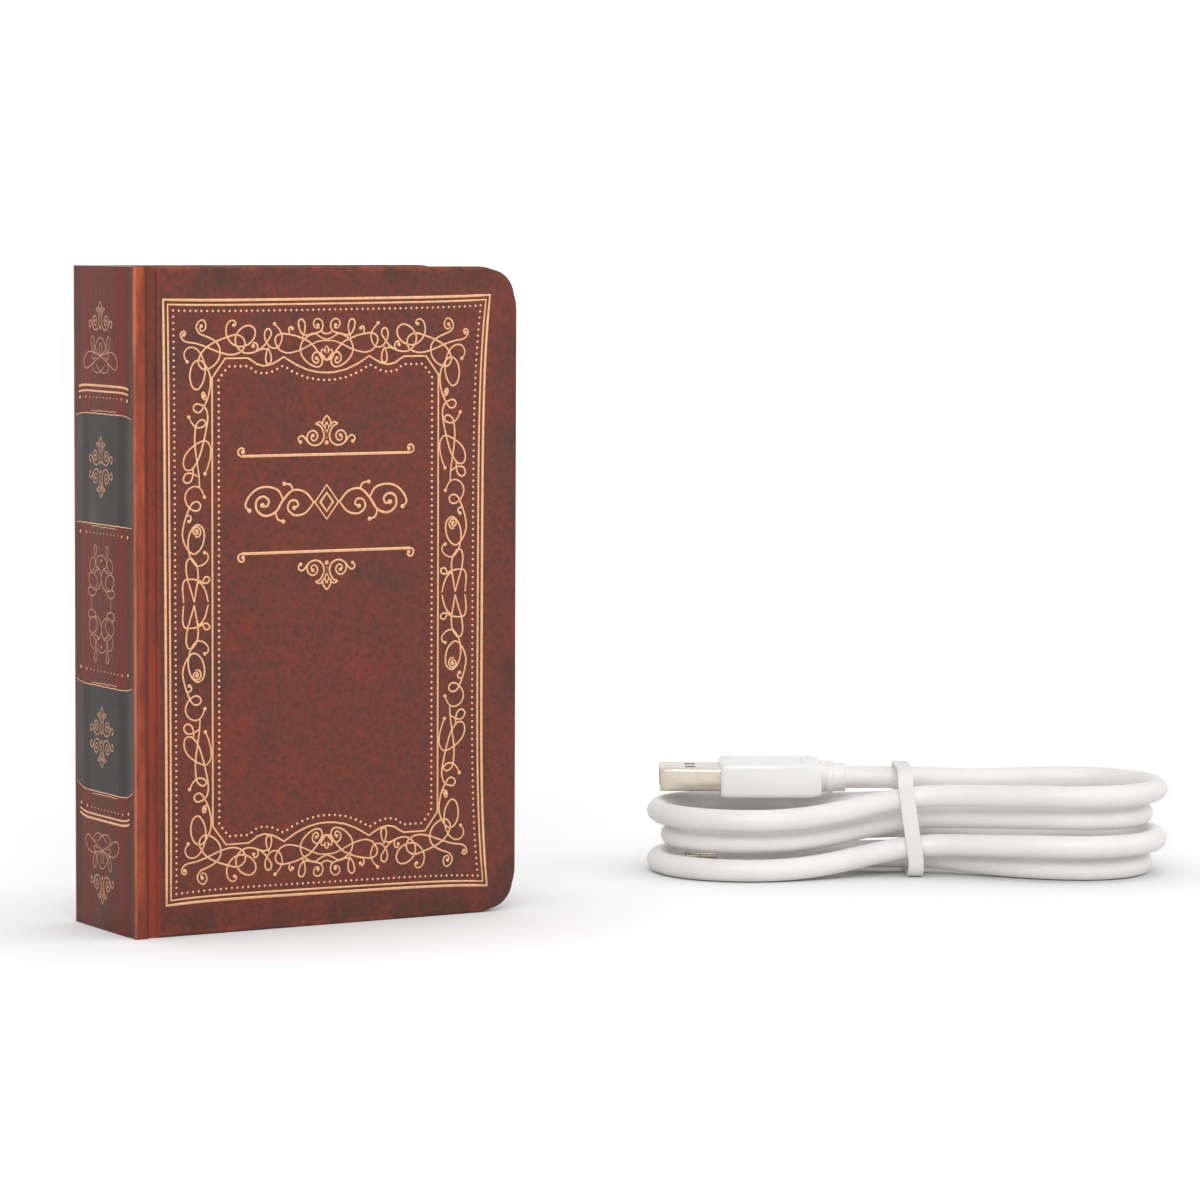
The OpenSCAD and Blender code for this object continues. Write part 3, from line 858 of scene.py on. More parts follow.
@dataclass(frozen=True)
class Studio:
    """The camera at the photograph's place, plain soft light and a white table."""

    camera_at: Point3 = (-0.3975, -0.7839, 0.1298)
    yaw: float = 30.52
    pitch: float = -4.624
    roll: float = 0.279
    lens: float = 143.35
    sky: float = 0.56
    key: float = 13.5
    key_at: Point3 = (-0.75, -1.3, 1.05)
    fill: float = 4.0
    fill_at: Point3 = (1.1, -0.9, 0.7)
    lit_at: Point3 = (0.05, 0.0, 0.05)
    table_width: float = 24.0
    shade_reach: float = 0.05
    table_glow: float = 0.62
    glow_evens_out: Point2 = (0.25, 0.8)

    def build(self) -> None:
        """Make the camera, the lights and the table."""
        self._camera()
        self._sky()
        self._lamp("key_light", self.key_at, 0.9, self.key)
        self._lamp("fill_light", self.fill_at, 1.0, self.fill)
        self._table()

    def _camera(self) -> None:
        """Place the camera as the photograph's."""
        data = bpy.data.cameras.new("camera")
        data.sensor_width = 36.0
        data.lens = self.lens
        data.clip_start, data.clip_end = 0.01, 60.0
        camera = bpy.data.objects.new("camera", data)
        bpy.context.scene.collection.objects.link(camera)
        yaw, pitch = math.radians(self.yaw), math.radians(self.pitch)
        look = Vector((math.sin(yaw) * math.cos(pitch), math.cos(yaw) * math.cos(pitch), math.sin(pitch)))
        turn = look.to_track_quat("-Z", "Y") @ Quaternion((0, 0, 1), math.radians(self.roll))
        camera.matrix_world = Matrix.Translation(self.camera_at) @ turn.to_matrix().to_4x4()
        bpy.context.scene.camera = camera

    def _sky(self) -> None:
        """Light everything evenly, and show white to the camera and in reflections."""
        world = bpy.data.worlds.new("sky")
        world.use_nodes = True
        nodes, links = world.node_tree.nodes, world.node_tree.links
        nodes.clear()
        rays = nodes.new("ShaderNodeLightPath")
        seen = self._seen(nodes, links, rays)
        strength = nodes.new("ShaderNodeMapRange")
        strength.inputs["To Min"].default_value = self.sky
        strength.inputs["To Max"].default_value = 1.0
        background = nodes.new("ShaderNodeBackground")
        output = nodes.new("ShaderNodeOutputWorld")
        links.new(seen, strength.inputs["Value"])
        links.new(strength.outputs["Result"], background.inputs["Strength"])
        background.inputs["Color"].default_value = (1.0, 1.0, 1.0, 1.0)
        links.new(background.outputs[0], output.inputs[0])
        bpy.context.scene.world = world

    @staticmethod
    def _seen(nodes: bpy.types.Nodes, links: bpy.types.NodeLinks, rays: bpy.types.Node) -> Socket:
        """1 for rays from the camera, mirrors and glass, and 0 for the rest."""
        value = rays.outputs["Is Camera Ray"]
        for kind in ("Is Glossy Ray", "Is Transmission Ray"):
            node = nodes.new("ShaderNodeMath")
            node.operation = "MAXIMUM"
            links.new(value, node.inputs[0])
            links.new(rays.outputs[kind], node.inputs[1])
            value = node.outputs[0]
        return value

    def _lamp(self, name: str, at: Point3, size: float, power: float) -> None:
        """Add a soft square lamp that looks at the book."""
        data = bpy.data.lights.new(name, "AREA")
        data.size, data.energy = size, power
        lamp = bpy.data.objects.new(name, data)
        bpy.context.scene.collection.objects.link(lamp)
        turn = (Vector(self.lit_at) - Vector(at)).to_track_quat("-Z", "Y")
        lamp.matrix_world = Matrix.Translation(at) @ turn.to_matrix().to_4x4()

    def _table(self) -> None:
        """Lay a white table that keeps the lamps' shadows, and paint a soft contact shadow round the book and
        the cable by dimming its glow with ambient occlusion.
        """
        deselect_all()
        bpy.ops.mesh.primitive_plane_add(size=self.table_width, location=(0, 0, -0.02 * MM))
        table = bpy.context.object
        table.name = "table"
        settle(table)
        r = Recipe("white_table")
        rays = r.add("ShaderNodeLightPath")
        seen = self._seen(r.nodes, r.links, rays)
        # Painted shadow: ambient occlusion dims the table's glow where the book and the cable stand close
        # over it.
        painted_shadow_ao = r.add("ShaderNodeAmbientOcclusion", {"Distance": self.shade_reach}, samples=8).outputs["AO"]
        diffuse = r.add("ShaderNodeBsdfDiffuse", {"Color": (0.5, 0.5, 0.5)})
        x, y, _ = r.axes()
        reach = r.math("SQRT", r.math("ADD", r.math("MULTIPLY", x, x), r.math("MULTIPLY", y, y)))
        strength = r.band(reach, *self.glow_evens_out, (self.table_glow, 1.0))
        strength = r.math("MULTIPLY", painted_shadow_ao, strength)
        glow = r.add("ShaderNodeEmission", {"Color": (1.0, 1.0, 1.0), "Strength": strength})
        shown = r.add("ShaderNodeAddShader")
        r.links.new(diffuse.outputs[0], shown.inputs[0])
        r.links.new(glow.outputs[0], shown.inputs[1])
        plain = r.add("ShaderNodeBsdfDiffuse", {"Color": (0.75, 0.75, 0.75)})
        choose = r.add("ShaderNodeMixShader", {"Fac": seen})
        r.links.new(plain.outputs[0], choose.inputs[1])
        r.links.new(shown.outputs[0], choose.inputs[2])
        r.links.new(choose.outputs[0], r.output.inputs["Surface"])
        table.data.materials.append(r.material)


# --- Charging cable ---


@dataclass
class Cable:
    """The charging cable: one cord wound in a hank, its tie and its two plugs. Lengths are in millimetres."""

    diameter: float = 4.4
    hank_length: float = 106.0
    fold_r: float = 18.0
    strand_step: float = 5.5
    layer_step: float = 4.9
    tie_gap: float = 0.3
    tie_t: float = 0.8
    tie_w: float = 3.0
    at: Point2 = (133.5, -3.5)
    turn: float = -30.0
    loops: float = 3.5
    first_turn: float = 0.75
    climb: float = 0.22
    plug_shell: Point3 = (12.0, 12.0, 4.5)
    plug_body: Point3 = (20.0, 16.0, 6.8)
    plug_relief: Point2 = (5.0, 3.3)
    tip_size: Point3 = (6.0, 6.8, 1.8)
    tip_body: Point2 = (16.0, 9.4)
    tip_relief: Point2 = (6.0, 2.9)
    leads: Point2 = (12.0, 16.0)
    shell_t: float = 0.3
    long_edge: float = 0.9
    tie_lean: float = 1.1

    @property
    def fold_at(self) -> float:
        """Distance of a fold's centre from the middle of the hank."""
        return self.hank_length / 2 - self.diameter / 2 - self.fold_r

    @property
    def waist_in(self) -> float:
        """How far the tie draws each side in."""
        return self.fold_r - self.strand_step - (self.strand_step / 2 - 0.1)

    @property
    def lift(self) -> float:
        """Rise of the strands over the tie."""
        return self.tie_t + self.tie_gap

    def _strand(self, t: float) -> Vector:
        """Place of the cable's middle after so many turns, in the hank's own frame."""
        s = (t - self.first_turn) % 2
        inside = self.strand_step * (1 - s if s < 1 else s - 1)
        layer = 0.0
        for step in (1, 2, 3):
            c = min(max((t - self.first_turn - step) / self.climb + 0.5, 0.0), 1.0)
            layer += c * c * (3 - 2 * c)
        # A turn runs over half a fold, a strand, the far fold, the other strand and half a fold again.
        u = t % 1
        if 0.125 <= u < 0.375 or 0.625 <= u < 0.875:
            far = u < 0.5
            x = self.fold_at * ((1 - 8 * (u - 0.125)) if far else (8 * (u - 0.625) - 1))
            drawn = self.waist_in * (1 + math.cos(math.pi * min(abs(x) / self.fold_at, 1))) / 2
            y = (1 if far else -1) * (self.fold_r - inside - drawn)
        else:
            end = -1 if 0.375 <= u < 0.625 else 1
            start = 0 if u < 0.125 else 90 - 0.375 * 720 if u < 0.625 else 270 - 0.875 * 720
            angle = math.radians(start + u * 720)
            x = end * self.fold_at + (self.fold_r - inside) * math.cos(angle)
            y = (self.fold_r - inside) * math.sin(angle)
        rise = self.lift * math.exp(-((x / 12) ** 2))
        return Vector((x, y, self.diameter / 2 + rise + self.layer_step * layer))

    @property
    def small_end(self) -> Vector:
        """End of the cable at the small plug."""
        start = self._strand(self.first_turn)
        return Vector((-self.leads[1], start.y, start.z))

    @property
    def large_end(self) -> Vector:
        """End of the cable at the large plug."""
        end = self._strand(self.first_turn + self.loops)
        return Vector((-self.leads[0], end.y, end.z))

    @property
    def matrix(self) -> Matrix:
        """From the hank's own frame, in millimetres, to the part's, in metres."""
        return (Matrix.Translation((self.at[0] * MM, self.at[1] * MM, 0))
                @ Matrix.Rotation(math.radians(self.turn), 4, "Z") @ Matrix.Scale(MM, 4))

    def route(self, per_loop: int = 96) -> list[Vector]:
        """Points of the cable's middle from plug to plug, in metres."""
        straight = Vector((self.diameter, 0, 0))
        steps = int(self.loops * per_loop)
        points = [self.small_end, self.small_end + straight / 2, self.small_end + straight,
                  *(self._strand(self.first_turn + i / per_loop) for i in range(steps + 1)),
                  self.large_end + straight, self.large_end + straight / 2, self.large_end]
        return [self.matrix @ p for p in points]

    def build(self) -> None:
        cord = self._cord()
        tie = self._tie()
        large = [self._relief("large_plug_relief", self.large_end, self.plug_relief, "plug_strain_relief"),
                 self._large_housing(), self._large_shell()]
        small = [self._relief("small_plug_relief", self.small_end, self.tip_relief,
                              "small_plug_strain_relief"),
                 self._small_housing(), self._small_tip()]
        route = self.route()

    def _lay(self, piece: Piece, angle: float, finish: Finish, node: str) -> Piece:
        """Finish a part of the hank and lay it in its place.

        Args:
            piece: The part, in the hank's own frame.
            angle: Edges flatter than this many degrees are shaded smooth.
            finish: Its finish.
            node: The node that it replaces.

        Returns:
            The same part, riding on the spine's body.
        """
        place(finish_mesh(piece, angle), self.matrix)
        dress(piece, finish)
        return hang(piece, "spine", node)

    def _cord(self) -> Piece:
        """Draw the cord as one round tube along its route."""
        data = bpy.data.curves.new("charging_cable", "CURVE")
        data.dimensions = "3D"
        data.bevel_depth = self.diameter / 2 * MM
        data.bevel_resolution = 4
        data.use_fill_caps = True
        route = self.route()
        spline = data.splines.new("POLY")
        spline.points.add(len(route) - 1)
        for point, at in zip(spline.points, route):
            point.co = (*at, 1.0)
        spline.use_smooth = True
        cord = bpy.data.objects.new("charging_cable", data)
        bpy.context.scene.collection.objects.link(cord)
        dress(cord, Finish.cable_pvc)
        return hang(cord, "spine", "cable_hank")

    def _tie(self) -> Piece:
        """Wrap a flat band round the strands, with its free end lapped over."""
        skin = self.tie_gap + self.tie_t
        low = (-(self.fold_r - self.waist_in) - self.diameter / 2 - skin, 0.0)
        high = (self.fold_r - self.strand_step / 2 - self.waist_in + self.diameter / 2 + skin,
                self.lift + 3 * self.layer_step + self.diameter + skin)
        half = self.tie_w / 2
        tie = add_box("cable_tie_band", (-half, low[0], low[1]), (half, high[0], high[1]))
        with Bench(tie) as bench:
            bench.edges(lambda a, b: abs(a.x - b.x) > half)
            bench.bevel(self.diameter / 2 + skin, 6)
            bench.faces(lambda f: abs(f.normal.x) > 0.9)
            bpy.ops.mesh.delete(type="ONLY_FACE")
            for x in (-half * 0.6, half * 0.6):
                bench.cut((x, 0, 0), (1, 0, 0))
            bench.points(lambda p: p.z > high[1] * 0.6)
            bench.move((-self.tie_lean, 0, 0))
            bench.points(lambda p: p.z < high[1] * 0.4)
            bench.move((self.tie_lean, 0, 0))
        add_modifier(tie, "SOLIDIFY", thickness=self.tie_t, offset=-1.0, use_even_offset=True)
        with Bench(tie) as bench:
            bench.rims(0)
            bench.bevel(0.16, 2)
        return self._lay(tie, 40, Finish.tie, "cable_tie")

    def _relief(self, name: str, end: Vector, size: Point2, node: str) -> Piece:
        """Turn a stepped strain relief: a slim ring at the cable and a larger one at the plug.

        Args:
            name: The piece's name.
            end: End of the cable that it holds.
            size: Its length and its larger radius.
            node: The node that it replaces.

        Returns:
            The piece.
        """
        length, radius = size
        deselect_all()
        bpy.ops.mesh.primitive_cylinder_add(vertices=40, radius=radius - 0.4, depth=length,
                                            location=(end.x - length / 2, end.y, end.z),
                                            rotation=(0, math.pi / 2, 0))
        relief = bpy.context.object
        relief.name = relief.data.name = name
        settle(relief)
        middle, waist, notch = (end.x - length * share for share in (0.5, 0.26, 0.78))
        with Bench(relief) as bench:
            for x in (waist, middle + 0.1, middle - 0.1, end.x - length * 0.72, notch):
                bench.cut((x, 0, 0), (1, 0, 0))
            grow = radius / (radius - 0.4)
            bench.points(lambda p: p.x < middle and not near(p.x, notch, 0.01))
            bench.resize((1, grow, grow), (0, end.y, end.z))
            bench.points(lambda p: near(p.x, waist, 0.01))
            bench.resize((1, 0.97, 0.97), (0, end.y, end.z))
            bench.faces(lambda f: abs(f.normal.x) > 0.9 and len(f.verts) > 20)
            bpy.ops.mesh.inset(thickness=0.3)
            bench.edges(lambda a, b: near(a.x, b.x, 0.01) and near(a.x, end.x, 0.01)
                        and math.hypot(a.y - end.y, a.z - end.z) > radius - 0.5)
            bench.bevel(0.18, 2)
        return self._lay(relief, 35, Finish.cable_pvc, node)

    def _block(self, name: str, back: Vector, size: Point3, rounding: float, steps: int = 3) -> Piece:
        """Add a block of a plug, with round edges along the cable.

        Args:
            name: The piece's name.
            back: Middle of its side towards the cable.
            size: Its length, width and height.
            rounding: Radius of the edges.
            steps: Faces in the rounding.

        Returns:
            The block.
        """
        length, width, height = size
        block = add_box(name, (back.x - length, back.y - width / 2, back.z - height / 2),
                        (back.x, back.y + width / 2, back.z + height / 2))
        with Bench(block) as bench:
            bench.edges(lambda a, b: abs(a.x - b.x) > length * self.long_edge)
            bench.bevel(rounding, steps)
        return block

    @staticmethod
    def _taper(body: Piece, back: Vector, x0: float, ends: tuple[Point3, Point3], rounding: float) -> None:
        """Narrow the two ends of a plug's body and round their rims.

        Args:
            body: The plug's body.
            back: Middle of its side towards the cable.
            x0: Place of its other side.
            ends: For each end, its length and its size's factors across and up.
            rounding: Radius of the rims.
        """
        places = (back.x, x0)
        with Bench(body) as bench:
            for x in (back.x - ends[0][0], x0 + ends[1][0]):
                bench.cut((x, 0, 0), (1, 0, 0))
            for x, (_, across, up) in zip(places, ends):
                bench.points(lambda p: near(p.x, x, 0.01))
                bench.resize((1, across, up), (x, back.y, back.z))
            bench.edges(lambda a, b: near(a.x, b.x, 0.01) and any(near(a.x, x, 0.01) for x in places))
            bench.bevel(rounding, 3)

    def _large_housing(self) -> Piece:
        """Mould the large plug's body: a flat-topped block with round edges and a stepped collar."""
        back = self.large_end - Vector((self.plug_relief[0], 0, 0))
        x0 = back.x - self.plug_body[0]
        middle = (x0 + back.x) / 2
        body = self._block("large_plug_body", back, self.plug_body, 0.9)
        self._taper(body, back, x0, ((2.2, 0.86, 0.9), (1.2, 0.965, 0.93)), 0.35)
        for side in (-1, 1):
            with Bench(body) as bench:
                bench.facing((0, 0, side), lambda c: abs(c.x - middle) < 3)
                bpy.ops.mesh.inset(thickness=1.6)
                bench.extrude((0, 0, -0.18 * side))
                bpy.ops.mesh.inset(thickness=0.3)
        return self._lay(body, 30, Finish.plug_plastic, "plug_housing")

    def _large_shell(self) -> Piece:
        """Fold the large plug's metal shell, open at its mouth, with two latch windows above and below."""
        back = self.large_end - Vector((self.plug_relief[0] + self.plug_body[0], 0, 0))
        x0 = back.x - self.plug_shell[0]
        middle, aside, window = (x0 + back.x) / 2, self.plug_shell[1] / 5, 1.0
        shell = self._block("large_plug_shell", back, self.plug_shell, 0.5)

        def is_open(face: bmesh.types.BMFace) -> bool:
            """Whether a face is at the mouth or in a window."""
            at = face.calc_center_median()
            return face.normal.x < -0.9 or (abs(face.normal.z) > 0.9 and abs(at.x - middle) < window * 0.9
                                            and abs(abs(at.y - back.y) - aside) < window * 0.9)

        with Bench(shell) as bench:
            for side in (-1, 1):
                for edge in (-window, window):
                    bench.cut((0, back.y + side * aside + edge, 0), (0, 1, 0))
            for x in (middle - window, middle + window):
                bench.cut((x, 0, 0), (1, 0, 0))
            bench.faces(is_open)
            bpy.ops.mesh.delete(type="FACE")
        add_modifier(shell, "SOLIDIFY", thickness=self.shell_t, offset=-1.0, use_even_offset=True)
        with Bench(shell) as bench:
            bench.edges(lambda a, b: near(a.x, x0, 0.01) and near(b.x, x0, 0.01))
            bench.bevel(0.08, 2)
        return self._lay(shell, 35, Finish.plug_metal, "plug_shell_metal")

    def _small_housing(self) -> Piece:
        """Mould the small plug's body, narrowed at both ends, with grip grooves in its sides."""
        back = self.small_end - Vector((self.tip_relief[0], 0, 0))
        x0 = back.x - self.tip_body[0]
        middle = (x0 + back.x) / 2
        body = self._block("small_plug_body", back, (*self.tip_body, 2 * back.z), 1.1, 4)
        self._taper(body, back, x0, ((2.0, 0.84, 0.94), (1.0, 0.95, 0.93)), 0.3)
        with Bench(body) as bench:
            bench.faces(lambda f: abs(f.normal.y) > 0.98 and abs(f.calc_center_median().x - middle) < 3)
            bpy.ops.mesh.inset(thickness=0.8, use_individual=True)
            bpy.ops.transform.shrink_fatten(value=-0.2)
        return self._lay(body, 30, Finish.plug_plastic, "small_plug_housing")

    def _small_tip(self) -> Piece:
        """Fold the small plug's metal tip, hollow at its mouth, with a tongue's step inside."""
        back = self.small_end - Vector((self.tip_relief[0] + self.tip_body[0], 0, 0))
        x0, edge_y = back.x - self.tip_size[0], self.tip_size[1] / 2 - 0.6
        tip = self._block("small_plug_shell", back, self.tip_size, 0.5)
        with Bench(tip) as bench:
            bench.facing((-1, 0, 0))
            bpy.ops.mesh.inset(thickness=0.22)
            bench.extrude((2.4, 0, 0))
            bpy.ops.mesh.inset(thickness=0.3)
            bench.extrude((-1.8, 0, 0))
            bench.edges(lambda a, b: near(a.x, x0, 0.01) and near(b.x, x0, 0.01)
                        and max(abs(a.y - back.y), abs(b.y - back.y)) > edge_y)
            bench.bevel(0.05, 1)
        return self._lay(tip, 35, Finish.plug_metal, "small_plug_tip")


# --- Covers and spine ---


@dataclass
class Cover:
    """One leather cover: a shell over the board, with turned-in edges, a groove and a flap to the joint."""

    side: Side
    edge_round: float = 0.65

    def build(self) -> Piece:
        """Model the leather of this cover.

        Returns:
            The leather, riding on the cover's body.
        """
        b = BOOK
        outer, inner = b.front_y(0), b.front_y(b.lining_in)
        low_x, high_x = b.x(b.cover_x), b.x(b.width)
        top = b.height * MM
        name = f"{self.side.word}_cover_leather"
        shell = add_box(name, (low_x, outer, 0), (high_x, inner, top))
        with Bench(shell) as bench:
            bench.edges(lambda p, q: near(p.x, high_x) and near(q.x, high_x) and near(p.z, q.z))
            bench.bevel(b.corner_r * MM, 12)
            bench.edges(lambda p, q: near(p.y, outer) and near(q.y, outer))
            bench.bevel(self.edge_round * MM, 4)
            bench.edges(lambda p, q: near(p.y, inner) and near(q.y, inner))
            bench.bevel(0.45 * MM, 3)
            self._pocket(bench)
            self._groove(bench)
        if self.side is Side.BACK:
            with Bench(shell) as bench:
                bpy.ops.mesh.select_all(action="SELECT")
                bench.resize((1, -1, 1), (0, 0, 0))
        finish_mesh(shell, 42)
        dress(shell, Finish.leather)
        return hang(shell, f"{self.side.word}_cover", f"{self.side.word}_leather")

    def _pocket(self, bench: Bench) -> None:
        """Sink the lining's recess and, behind its turned-in border, the pocket that holds the board."""
        b = BOOK
        bench.facing((0, 1, 0), lambda c: c.y > b.front_y(b.lining_in) - 0.01 * MM)
        bpy.ops.mesh.inset(thickness=(b.turn_in - 0.45) * MM)
        bench.extrude((0, -(b.lining_in - b.cover_t) * MM, 0))
        bench.extrude((0, 0, 0))
        middle = (b.x((b.cover_x + b.width) / 2), 0.0, b.height / 2 * MM)
        board_w, board_h = b.width - b.cover_x - 2 * b.leather_t, b.height - 2 * b.leather_t
        hole_w, hole_h = b.width - b.cover_x - 2 * b.turn_in, b.height - 2 * b.turn_in
        bench.resize((board_w / hole_w, 1, board_h / hole_h), middle)
        bench.extrude((0, -(b.cover_t - b.leather_t) * MM, 0))

    def _groove(self, bench: Bench) -> None:
        """Draw the leather down into the groove and on to the flap beside the rolled joint."""
        b = BOOK
        bench.facing((-1, 0, 0), lambda c: c.x < b.x(b.cover_x) + 0.05 * MM)
        flap_y = b.front_y(b.groove_depth + b.flap_t / 2)
        for step, thick, y in ((0.35, 1.35, b.front_y(1.45)), (0.35, b.flap_t, flap_y),
                               (0.6, b.flap_t, flap_y), (0.3, b.flap_t * 0.7, flap_y)):
            bench.extrude((-step * MM, 0, 0))
            mesh = bmesh.from_edit_mesh(bench.piece.data)
            ys = [v.co.y for v in mesh.verts if v.select]
            spread = max(ys) - min(ys)
            bench.resize((1, thick * MM / spread, 1), (0, (max(ys) + min(ys)) / 2, 0))
            bench.move((0, y - (max(ys) + min(ys)) / 2, 0))


@dataclass
class Spine:
    """The leather of the spine, with a shallow groove along each side and a rolled joint at each edge."""

    groove: float = 0.24
    groove_y: Point2 = (10.0, 9.3)

    def build(self) -> Piece:
        """Model the spine's leather.

        Returns:
            The leather, riding on the spine's body.
        """
        b = BOOK
        half, bead = b.thickness / 2 * MM, 2 * b.joint_r * MM
        top = b.height * MM
        spine = add_box("spine_cover_leather", (b.x(0), -half, 0), (b.x(b.leather_t), half, top))
        with Bench(spine) as bench:
            for y in (half - bead, self.groove_y[0] * MM, self.groove_y[1] * MM):
                for side in (-1, 1):
                    bench.cut((0, side * y, 0), (0, 1, 0))
            bench.facing((1, 0, 0), lambda c: abs(c.y) > half - bead)
            bench.extrude((bead - b.leather_t * MM, 0, 0))
            bench.edges(lambda p, q: abs(p.z - q.z) > top * 0.9 and near(p.y, q.y) and (
                near(abs(p.y), half) or (near(abs(p.y), half - bead) and near(p.x, b.x(0) + bead))))
            bench.bevel(b.joint_r * MM * 0.995, 6)
            bench.points(lambda p: near(p.x, b.x(0)) and 9.9 * MM < abs(p.y) < half - bead + 0.01 * MM)
            bench.move((self.groove * MM, 0, 0))
            bench.points(lambda p: near(p.x, b.x(0) + self.groove * MM) and abs(p.y) < 10.2 * MM)
            bench.move((-0.06 * MM, 0, 0))
            bench.edges(lambda p, q: near(p.z, q.z) and (near(p.z, 0) or near(p.z, top))
                        and min(p.x, q.x) < b.x(0.35))
            bench.bevel(0.22 * MM, 2)
        finish_mesh(spine, 50)
        dress(spine, ExtraFinish.spine_leather)
        return hang(spine, "spine", "spine_leather")


# --- Gold tooling ---


@dataclass(frozen=True)
class Stroke:
    """One gold line through points in millimetres, with its width and the ends that carry a ball."""

    points: tuple[Point2, ...]
    width: float = 0.29
    balls: tuple[bool, bool] = (False, False)
    closed: bool = False
    curved: bool = True

    def mirrored(self, across: bool, up: bool, centre: Point2) -> Stroke:
        """The same stroke mirrored about a centre.

        Args:
            across: Whether it is mirrored from side to side.
            up: Whether it is mirrored from head to foot.
            centre: The point that stays.

        Returns:
            The mirrored stroke.
        """
        points = tuple((2 * centre[0] - x if across else x, 2 * centre[1] - y if up else y)
                       for x, y in self.points)
        return replace(self, points=points)


